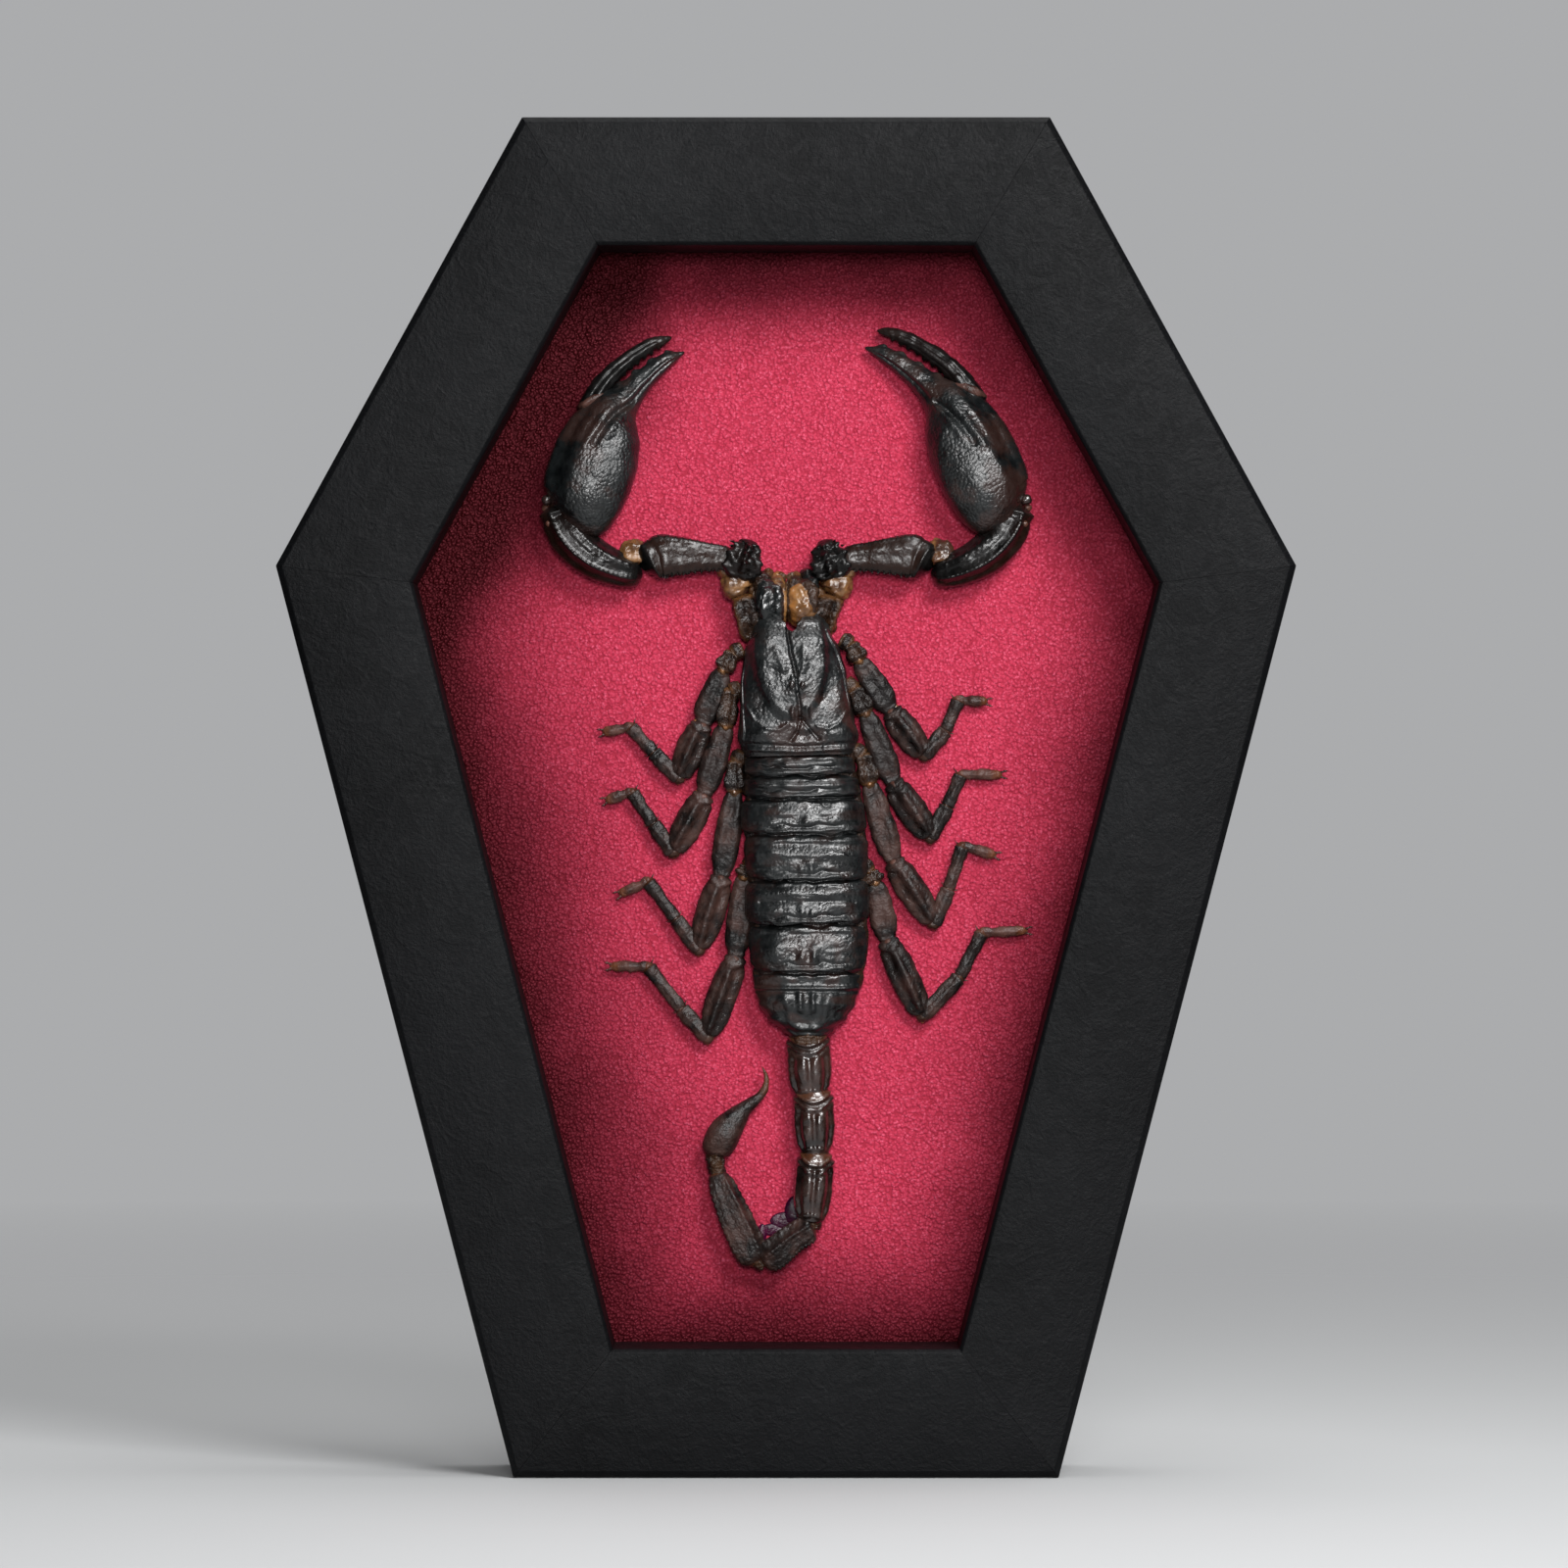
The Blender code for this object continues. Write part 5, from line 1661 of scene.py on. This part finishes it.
@dataclass
class Jaw:
    """A short jaw in front of the carapace: a swollen base, two dark fingers and a tuft of hairs."""

    side: Side

    def build(self) -> None:
        """Builds the jaw as one piece. The right one is golden, and the left one is mostly dark."""
        shell = Shell()
        golden = self.side is Side.RIGHT
        plain = {"mirror": -float(self.side.value)}
        skin = Skin(wrinkle=0.34, wrinkle_size=1.1, granule=0.04, grain=0.4, gleam=1.0)
        base = Segment(
            self.side.out((
                (2.2, 115.6, 1.4, 1.5, 3.2), (2.3, 117.0, 1.9, 2.0, 4.0), (2.3, 119.0, 2.05, 2.2, 4.4),
                (2.2, 120.8, 1.95, 2.0, 4.2), (2.1, 122.2, 1.4, 1.5, 3.6))),
            sides=52, rings=52, boxy=2.4, finish=SOFT if golden else BLACK, amber=(0.0, 0.0, 0.0),
            ridges=() if golden else (Ridge(60, -0.4, 12, 0.1, 0.9), Ridge(110, 0.35, 14, 0.1, 0.9)),
            zones=(Zone(30.0 if golden else 12.0, 28.0, grain=0.3, gleam=1.0, joint=0.9),), skin=skin,
            **plain)
        strip = Segment(
            self.side.out((
                (0.5, 116.4, 0.5, 0.8, 3.4), (0.45, 118.4, 0.65, 1.0, 4.4), (0.5, 120.6, 0.6, 0.9, 4.4),
                (0.6, 122.0, 0.4, 0.6, 3.6))),
            finish=SOFT if not golden else SIDE, skin=skin, **plain)
        fixed = Segment(
            self.side.out((
                (3.3, 120.0, 1.0, 1.0, 4.4), (3.3, 121.6, 1.25, 1.3, 4.2), (2.7, 123.0, 0.9, 0.9, 3.4),
                (1.9, 123.7, 0.35, 0.4, 2.8))),
            sides=36, rings=32, finish=BLACK if golden else SIDE, amber=(0.2, 0.3, 0.4), skin=skin, **plain)
        free = Segment(
            self.side.out((
                (1.4, 120.2, 0.9, 0.9, 4.2), (1.3, 121.6, 1.15, 1.1, 4.2), (1.2, 122.9, 0.8, 0.8, 3.4),
                (1.3, 123.6, 0.35, 0.4, 2.8))),
            sides=36, rings=32, finish=SIDE if golden else SOFT, amber=(0.2, 0.3, 0.6), skin=skin, **plain)
        cap = Segment(
            self.side.out((
                (3.1, 117.4, 0.7, 0.6, 5.4), (3.2, 119.4, 1.2, 0.9, 5.6), (2.7, 121.0, 1.5, 0.9, 5.2),
                (2.3, 122.4, 0.9, 0.7, 4.4))),
            sides=36, rings=32, finish=SIDE if golden else BLACK, amber=(0.1, 0.0, 0.4), skin=skin, **plain)
        for segment in (base, strip, fixed, free, cap):
            shell.grow(segment)
        for out, z, lift, size, finish in (
            (4.1, 117.8, 3.6, 0.8, SOFT), (4.4, 120.6, 3.6, 0.9, SIDE), (4.0, 122.4, 3.4, 0.7, SOFT),
            (0.7, 122.8, 3.6, 0.6, SIDE)
        ):
            shell.bead(
                on_lining(self.side.x(out), z, lift), (size, size * 0.8, size * 1.2), finish, skin, 0.4)
        self.tuft(shell)
        shell.finish(f"jaw_{self.side.word}", "cuticle_amber", f"scorpion_jaw_{self.side.word}")

    def tuft(self, shell: Shell) -> None:
        """Adds the hairs on the jaw's inner side."""
        chance = random.Random(40 + self.side.value)
        for _ in range(34):
            out, z = chance.uniform(0.1, 0.9), chance.uniform(119.8, 122.2)
            foot = on_lining(self.side.x(out), z, chance.uniform(3.6, 5.0))
            run = Vector((chance.uniform(-0.5, 0.3) * self.side.value, -chance.uniform(0.2, 0.6), 1.0))
            shell.spike(foot, foot + run.normalized() * chance.uniform(0.9, 1.9) * MM, 0.06, SOFT)


# Tail


@dataclass
class Tail:
    """The tail's five hard segments, the skin between them, the venom bulb and the sting."""

    def straight_part(
        self, start: Point, end: Point, half_width: float, half_height: float, facets: tuple[float, float],
        lean: float
    ) -> Segment:
        """One of the three segments whose top faces the viewer: two polished facets beside a furrow.

        Args:
            start: The middle of its near end.
            end: The middle of its far end.
            half_width: Its half width at the shoulders.
            half_height: Its half height.
            facets: The shares of the length where the facets begin and end.
            lean: How far the furrow lies off the middle, in degrees.

        Returns:
            The segment.
        """
        girths = (
            (-0.05, 0.6), (0.02, 0.82), (0.12, 0.96), (0.3, 0.98), (0.48, 1.0), (0.66, 0.96), (0.81, 0.85),
            (0.92, 0.65), (1.02, 0.4))
        stations = tuple(
            Station(
                start[0] + (end[0] - start[0]) * share, start[1] + (end[1] - start[1]) * share,
                half_width * girth, half_height * (0.3 + 0.7 * girth), 0.4 + half_height)
            for share, girth in girths)
        low, high = facets
        middle = 90.0 + lean
        return Segment(
            stations, sides=88, rings=84, boxy=2.0, finish=TAIL, amber=(0.1, 0.0, 0.6), sag=0.13,
            ridges=(
                Ridge(middle, -0.3, 9, low - 0.05, high + 0.12), Ridge(middle - 46, -0.2, 9, low - 0.08, 0.9),
                Ridge(middle + 46, -0.2, 9, low - 0.08, 0.9), Ridge(middle - 66, 0.1, 8, 0.1, 0.9, 8, 0.05),
                Ridge(middle + 66, 0.1, 8, 0.1, 0.9, 8, 0.05)),
            marks=(
                Field(-1.0, (low + high) * 4.5, 0.85, (high - low) * 4.8, 0.3, 0.4),
                Field(1.0, (low + high) * 4.5, 0.85, (high - low) * 4.8, 0.3, 0.4)),
            collars=(
                Collar(0.05, 0.24, 0.02, 0.16), Collar(0.1, -0.22, 0.02, 0.17),
                Collar(0.14, 0.16, 0.016, 0.18), Collar(0.18, -0.18, 0.02, 0.2),
                Collar(0.9, 0.14, 0.03, -0.05), Collar(0.96, -0.12, 0.02)),
            skin=Skin(wrinkle=0.07, wrinkle_size=1.6, grain=0.06, gleam=0.5))

    def side_part(self, stations: tuple[Station, ...], keel: float, low: float, high: float) -> Segment:
        """One of the two segments that lie on their side.

        Args:
            stations: Its sections.
            keel: The angle of the beaded keel between the grey granular band and the dark flank.
            low: The angle where the dark flank ends.
            high: The angle where the grey band ends.

        Returns:
            The segment.
        """
        band = (keel + high) / 2.0
        return Segment(
            stations, sides=72, rings=90, boxy=2.6, finish=BROWN, amber=(0.05, 0.05, 0.6),
            ridges=(
                Ridge(keel, 0.36, 6, 0.04, 0.97, 15, 0.12), Ridge(high, 0.34, 6, 0.04, 0.97, 15, 0.2),
                Ridge(low, 0.26, 7, 0.04, 0.96, 13, 0.1), Ridge(band, -0.18, 16, 0.08, 0.93),
                Ridge((keel + low) / 2.0, -0.25, 16, 0.06, 0.94)),
            collars=(Collar(0.04, 0.18, 0.02), Collar(0.96, 0.2, 0.02)),
            zones=(Zone(band, 0.55 * abs(high - keel), grain=1.0, gleam=0.0, start=0.05, end=0.95),),
            skin=Skin(wrinkle=0.12, wrinkle_size=1.4, granule=0.05, granule_size=0.5, grain=0.3, gleam=0.6))

    def parts(self) -> list[Segment]:
        """All of the tail's hard segments."""
        fourth = (
            Station(4.0, 33.6, 1.2, 1.5, 2.3), Station(3.3, 33.3, 1.85, 2.1, 2.6),
            Station(1.0, 31.9, 1.95, 2.2, 2.7), Station(-1.6, 29.8, 2.15, 2.3, 2.8),
            Station(-3.4, 28.4, 1.6, 1.9, 2.5))
        fifth = (
            Station(-3.9, 28.2, 1.5, 1.7, 2.4), Station(-4.8, 29.8, 2.15, 2.1, 2.6),
            Station(-6.9, 34.4, 2.2, 2.2, 2.7), Station(-8.7, 38.6, 1.75, 2.0, 2.6),
            Station(-9.6, 41.2, 1.2, 1.5, 2.3))
        return [
            self.straight_part((3.0, 60.0), (3.45, 50.9), 3.1, 2.6, (0.42, 0.78), 0.0),
            self.straight_part((3.75, 52.3), (4.0, 42.9), 2.85, 2.5, (0.36, 0.8), 2.0),
            self.straight_part((4.15, 43.7), (3.3, 33.6), 2.65, 2.4, (0.26, 0.84), 4.0),
            self.side_part(fourth, 78.0, 30.0, 146.0), self.side_part(fifth, 60.0, 15.0, 138.0)]

    def soft_joints(self) -> list[Segment]:
        """The brown skin between the segments, ribbed at the tail's root."""
        rows = (
            ((3.0, 61.6, 2.1, 2.0, 3.3), (3.05, 58.4, 2.3, 2.2, 3.6)),
            ((3.5, 52.6, 1.6, 1.7, 3.0), (3.6, 50.8, 1.7, 1.8, 3.2)),
            ((4.0, 44.2, 1.5, 1.6, 2.9), (4.1, 42.4, 1.6, 1.7, 3.1)),
            ((3.6, 35.0, 1.4, 1.5, 2.6), (3.2, 33.2, 1.3, 1.5, 2.7)),
            ((-2.8, 28.6, 1.2, 1.4, 2.5), (-4.3, 29.0, 1.2, 1.4, 2.5)),
            ((-9.4, 40.6, 1.05, 1.3, 2.3), (-9.8, 43.6, 1.2, 1.4, 2.3)))
        parts = []
        for ends in rows:
            first, last = (Station(*row) for row in ends)
            middle = Station(*((a + b) / 2.0 for a, b in zip(*ends)))
            parts.append(
                Segment(
                    (first, replace(middle, half_width=middle.half_width * 1.08), last), sides=44, rings=56,
                    finish=SIDE, amber=(0.0, 0.0, 0.0),
                    collars=tuple(Collar(0.15 + 0.14 * step, 0.1, 0.03, 0.2) for step in range(5)),
                    zones=(Zone(90.0, 40.0, grain=0.3, gleam=0.5, joint=0.15),),
                    skin=Skin(wrinkle=0.3, wrinkle_size=0.9, grain=0.4, gleam=0.4)))
        return parts

    def glue(self) -> None:
        """Builds the dried drop of glue that holds the tail's bend to the lining."""
        shell = Shell()
        skin = Skin(wrinkle=0.06, wrinkle_size=1.4, grain=0.0, gleam=1.0)
        drops = ((1.3, 35.4, 1.5, 2.2, 0.35), (0.1, 34.1, 2.3, 1.3, 0.18), (-1.6, 32.9, 2.0, 0.9, 0.14),
                 (-3.3, 32.4, 0.7, 1.3, 0.25))
        for x, z, wide, tall, lift in drops:
            shell.bead(on_lining(x, z, lift * 0.4), (wide, lift, tall), 0, skin, 0.0)
        make_piece("glue_spot", shell.mesh, [GLUE], "cuticle_black", "scorpion_tail")

    def sting(self) -> Segment:
        """The venom bulb, drawn out into the curved sting."""
        rows = (
            (-9.9, 42.6, 1.0, 1.1, 2.2), (-9.7, 43.6, 1.9, 1.8, 2.4), (-8.7, 45.9, 2.3, 2.2, 2.7),
            (-7.2, 48.0, 1.8, 1.8, 2.6), (-5.4, 49.9, 1.0, 1.1, 2.4), (-3.8, 51.2, 0.66, 0.75, 2.3),
            (-2.85, 52.5, 0.46, 0.5, 2.2), (-2.7, 54.0, 0.28, 0.32, 2.1), (-3.35, 55.6, 0.06, 0.08, 1.9))
        return Segment(
            tuple(Station(*row) for row in rows), sides=48, rings=90, finish=BROWN, amber=(0.05, 0.34, 0.6),
            ridges=(Ridge(60, 0.08, 12, 0.05, 0.5), Ridge(120, 0.08, 12, 0.05, 0.5)),
            skin=Skin(wrinkle=0.08, wrinkle_size=1.3, granule=0.03, grain=0.7, gleam=0.15))

    def build(self) -> None:
        """Builds the tail as one piece, and its glue as another."""
        shell = Shell()
        for segment in [*self.parts(), *self.soft_joints(), self.sting()]:
            shell.grow(segment)
        shell.finish("tail", "cuticle_black", "scorpion_tail")
        self.glue()


# Frame


@dataclass
class CoffinFrame:
    """The black frame, its red lining, its back board and the points that hold it."""

    height: float = 0.185
    shoulder_height: float = 0.124
    top_width: float = 0.0718
    shoulder_width: float = 0.1388
    base_width: float = 0.0742
    depth: float = 0.025
    face: float = 0.0175
    outer_chamfer: float = 0.0008
    inner_chamfer: float = 0.0005
    recess: float = 0.016
    rebate: float = 0.006
    mitre_gap: float = 0.00004
    softening: float = 0.00018
    sides: tuple[str, ...] = ("bottom", "lower_right", "upper_right", "top", "upper_left", "lower_left")
    wrap: BlackWrap = BlackWrap("black_wrap", (0.001, 0.0011, 0.0014), (0.003, 0.0032, 0.0038), 0.48, 0.012)
    board: Hardboard = Hardboard("hardboard", (0.06, 0.034, 0.018), (0.16, 0.1, 0.06))
    steel: RolledSteel = RolledSteel("point_steel", (0.6, 0.6, 0.61), (0.32, 0.29, 0.26))

    def corners(self) -> list[Vector]:
        """The six outer corners, anticlockwise from the base's left, as (x, z)."""
        right = [
            Vector((self.base_width / 2.0, 0.0)), Vector((self.shoulder_width / 2.0, self.shoulder_height)),
            Vector((self.top_width / 2.0, self.height))]
        left = [Vector((-corner.x, corner.y)) for corner in right]
        return [left[0], *right, left[2], left[1]]

    def inset(self, distance: float) -> list[Vector]:
        """The corners of the outline that lies this far inside."""
        corners, moved = self.corners(), []
        for index, corner in enumerate(corners):
            before = (corner - corners[index - 1]).normalized()
            after = (corners[(index + 1) % len(corners)] - corner).normalized()
            bisector = (after - before).normalized()
            sine = abs(after.x * bisector.y - after.y * bisector.x)
            moved.append(corner + bisector * distance / sine)
        return moved

    def section(self) -> list[Point]:
        """The rail's section as (distance inwards, y)."""
        front, back = -self.depth / 2.0, self.depth / 2.0
        return [
            (0.0, front + self.outer_chamfer), (self.outer_chamfer, front),
            (self.face - self.inner_chamfer, front), (self.face, front + self.inner_chamfer),
            (self.face, front + self.recess), (self.face - self.rebate, front + self.recess),
            (self.face - self.rebate, back), (0.0, back)]

    def mitre_ring(self, outer: Vector, inner: Vector, along: Vector) -> list[Vector]:
        """The section laid on the mitre between two corners."""
        mitre = (inner - outer).normalized()
        back = self.mitre_gap / 2.0 / abs(along.x * mitre.y - along.y * mitre.x)
        ring = []
        for distance, y in self.section():
            spot = outer + (inner - outer) * (distance / self.face) + along * back
            ring.append(Vector((spot.x, y, spot.y)))
        return ring

    def rail(self, name: str, outer: Sequence[Vector], inner: Sequence[Vector]) -> None:
        """Builds a rail between two corners, with softened edges."""
        along = (outer[1] - outer[0]).normalized()
        start, end = self.mitre_ring(outer[0], inner[0], along), self.mitre_ring(outer[1], inner[1], -along)
        mesh = bmesh.new()
        near = mesh.faces.new([mesh.verts.new(place) for place in start])
        grown = bmesh.ops.extrude_face_region(mesh, geom=[near])["geom"]
        far = next(part for part in grown if isinstance(part, bmesh.types.BMFace))
        for vertex in far.verts:
            vertex.co = end[min(range(len(start)), key=lambda index: (start[index] - vertex.co).length)]
        bmesh.ops.recalc_face_normals(mesh, faces=mesh.faces)
        least = 2.5 * self.face
        long_edges = [edge for edge in mesh.edges if edge.calc_length() > least and not edge.is_boundary]
        bmesh.ops.bevel(
            mesh, geom=long_edges, offset=self.softening, segments=3, profile=0.5, affect="EDGES",
            material=-1)
        for face in mesh.faces:
            face.smooth = True
        piece = make_piece(f"wrapped_{name}", mesh, [self.wrap], "frame_black", name)
        piece.data.set_sharp_from_angle(angle=math.radians(50.0))

    def lining(self) -> None:
        """Dresses the lining panel, which keeps its solid's shape."""
        opening = tuple((corner.x, corner.y) for corner in self.inset(self.face))
        leatherette = Leatherette(
            # the edge colour and the distances below paint shade onto the lining towards the walls
            "red_leatherette", centre=(0.365, 0.027, 0.058), edge=(0.012, 0.0003, 0.0006), pebble=0.00043,
            depth=0.00017, outline=opening,
            fades=((-3.5, 20.5), (-8.5, 19.5), (-10.0, 18.5), (-3.0, 19.5), (5.0, 23.0), (-4.5, 28.0)))
        self.dress("lining_panel", leatherette)

    @staticmethod
    def dress(name: str, finish: Finish) -> None:
        """Gives a solid that stays showing its finish."""
        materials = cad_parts[name].data.materials
        materials.clear()
        materials.append(finish.material())

    def build(self) -> None:
        """Builds the frame's pieces and dresses the solids that stay."""
        outer, inner = self.corners(), self.inset(self.face)
        for index, side in enumerate(self.sides):
            after = (index + 1) % len(self.sides)
            self.rail(f"rail_{side}", (outer[index], outer[after]), (inner[index], inner[after]))
        self.lining()
        self.dress("back_board", self.board)
        for side in self.sides:
            self.dress(f"point_{side}", self.steel)


# Studio

LIGHTS = (
    ("key_softbox", (0.2, -0.46, 0.42), (0.22, 0.16), 4.2),
    ("front_softbox", (0.02, -1.15, 0.24), (0.22, 0.16), 8.2),
    ("right_softbox", (0.45, -0.75, 0.25), (0.1, 0.3), 0.5),
    ("overhead_softbox", (0.15, -0.1, 0.8), (0.5, 0.3), 2.5),
    ("floor_softbox", (0.05, 0.3, 1.2), (1.6, 1.2), 11.0))


@dataclass
class Studio:
    """The pale floor, the soft lights and the camera, none of which are part of the object."""

    camera_distance: float = 1.2
    frame_front: float = -0.0125
    sensor: float = 36.0
    camera_height: float = 0.0943
    camera_x: float = -0.00027
    view_width: float = 0.21312
    pale: Colour = (0.4, 0.405, 0.41)
    ambient: float = 0.015
    backdrop: float = 0.42
    floor_radius: float = 6.0
    floor_fade: Point = (0.1, 0.8)
    aim: Place = (0.0, 0.0, 0.1)

    def camera(self) -> None:
        """Sets the camera straight in front, as far off and as high as the photograph's."""
        data = bpy.data.cameras.new("camera")
        data.sensor_width = self.sensor
        data.lens = data.sensor_width * self.camera_distance / self.view_width
        made = bpy.data.objects.new("camera", data)
        made.location = (self.camera_x, self.frame_front - self.camera_distance, self.camera_height)
        made.rotation_euler = (math.pi / 2.0, 0.0, 0.0)
        bpy.context.scene.collection.objects.link(made)
        bpy.context.scene.camera = made

    def floor(self) -> None:
        """Makes a round pale floor that fades into the backdrop's colour with distance."""
        mesh = bmesh.new()
        bmesh.ops.create_circle(mesh, cap_ends=True, segments=96, radius=self.floor_radius)
        data = bpy.data.meshes.new("floor")
        mesh.to_mesh(data)
        mesh.free()
        made = bpy.data.objects.new("floor", data)
        made.location.z = -0.0001
        bpy.context.scene.collection.objects.link(made)
        material = bpy.data.materials.new("pale_floor")
        material.use_nodes = True
        tree = Tree(material.node_tree)
        shader = material.node_tree.nodes["Principled BSDF"]
        place = tree.add("TexCoord").outputs["Object"]
        away = tree.add("VectorMath", {0: place}, operation="LENGTH").outputs["Value"]
        alpha = tree.span(away, *self.floor_fade, 1.0, 0.0)
        tree.feed(shader, colour=opaque(self.pale), rough=0.8, specular=0.1, alpha=alpha)
        data.materials.append(material)

    def light(self, name: str, place: Place, size: Point, power: float) -> None:
        """Adds a soft rectangular light that points at the middle of the frame."""
        data = bpy.data.lights.new(name, "AREA")
        data.shape = "RECTANGLE"
        data.size, data.size_y = size
        data.energy = power
        made = bpy.data.objects.new(name, data)
        made.location = place
        aim = Vector(self.aim) - made.location
        made.rotation_euler = aim.to_track_quat("-Z", "Y").to_euler()
        bpy.context.scene.collection.objects.link(made)

    def world(self) -> None:
        """Fills the scene with a dim even light, and shows a paler even backdrop behind it."""
        world = bpy.data.worlds.new("studio")
        world.use_nodes = True
        tree = Tree(world.node_tree)
        background = world.node_tree.nodes["Background"]
        background.inputs["Color"].default_value = (0.97, 0.98, 1.0, 1.0)
        seen = tree.add("LightPath").outputs["Is Camera Ray"]
        strength = tree.span(seen, 0.0, 1.0, self.ambient, self.backdrop)
        tree.tree.links.new(strength, background.inputs["Strength"])
        bpy.context.scene.world = world

    def build(self) -> None:
        """Builds the studio."""
        self.camera()
        self.floor()
        self.world()
        for name, place, size, power in LIGHTS:
            self.light(name, place, size, power)
        scene = bpy.context.scene
        scene.view_settings.view_transform = "Standard"
        scene.view_settings.look = "None"


def main() -> None:
    """Builds the studio, the frame and the animal."""
    logging.basicConfig(level=logging.INFO, format="%(name)s: %(message)s")
    Studio().build()
    CoffinFrame().build()
    Trunk().build()
    Arm(Side.LEFT, base=(-29.4, 130.3), tip=(-13.8, 153.6)).build()
    Arm(Side.RIGHT, base=(30.0, 130.9), tip=(10.7, 154.2)).build()
    for side in Side:
        Jaw(side).build()
    for (side, number), joints in LEG_JOINTS.items():
        Leg(side, number, joints).build()
    Tail().build()


if __name__ == "__main__":
    main()
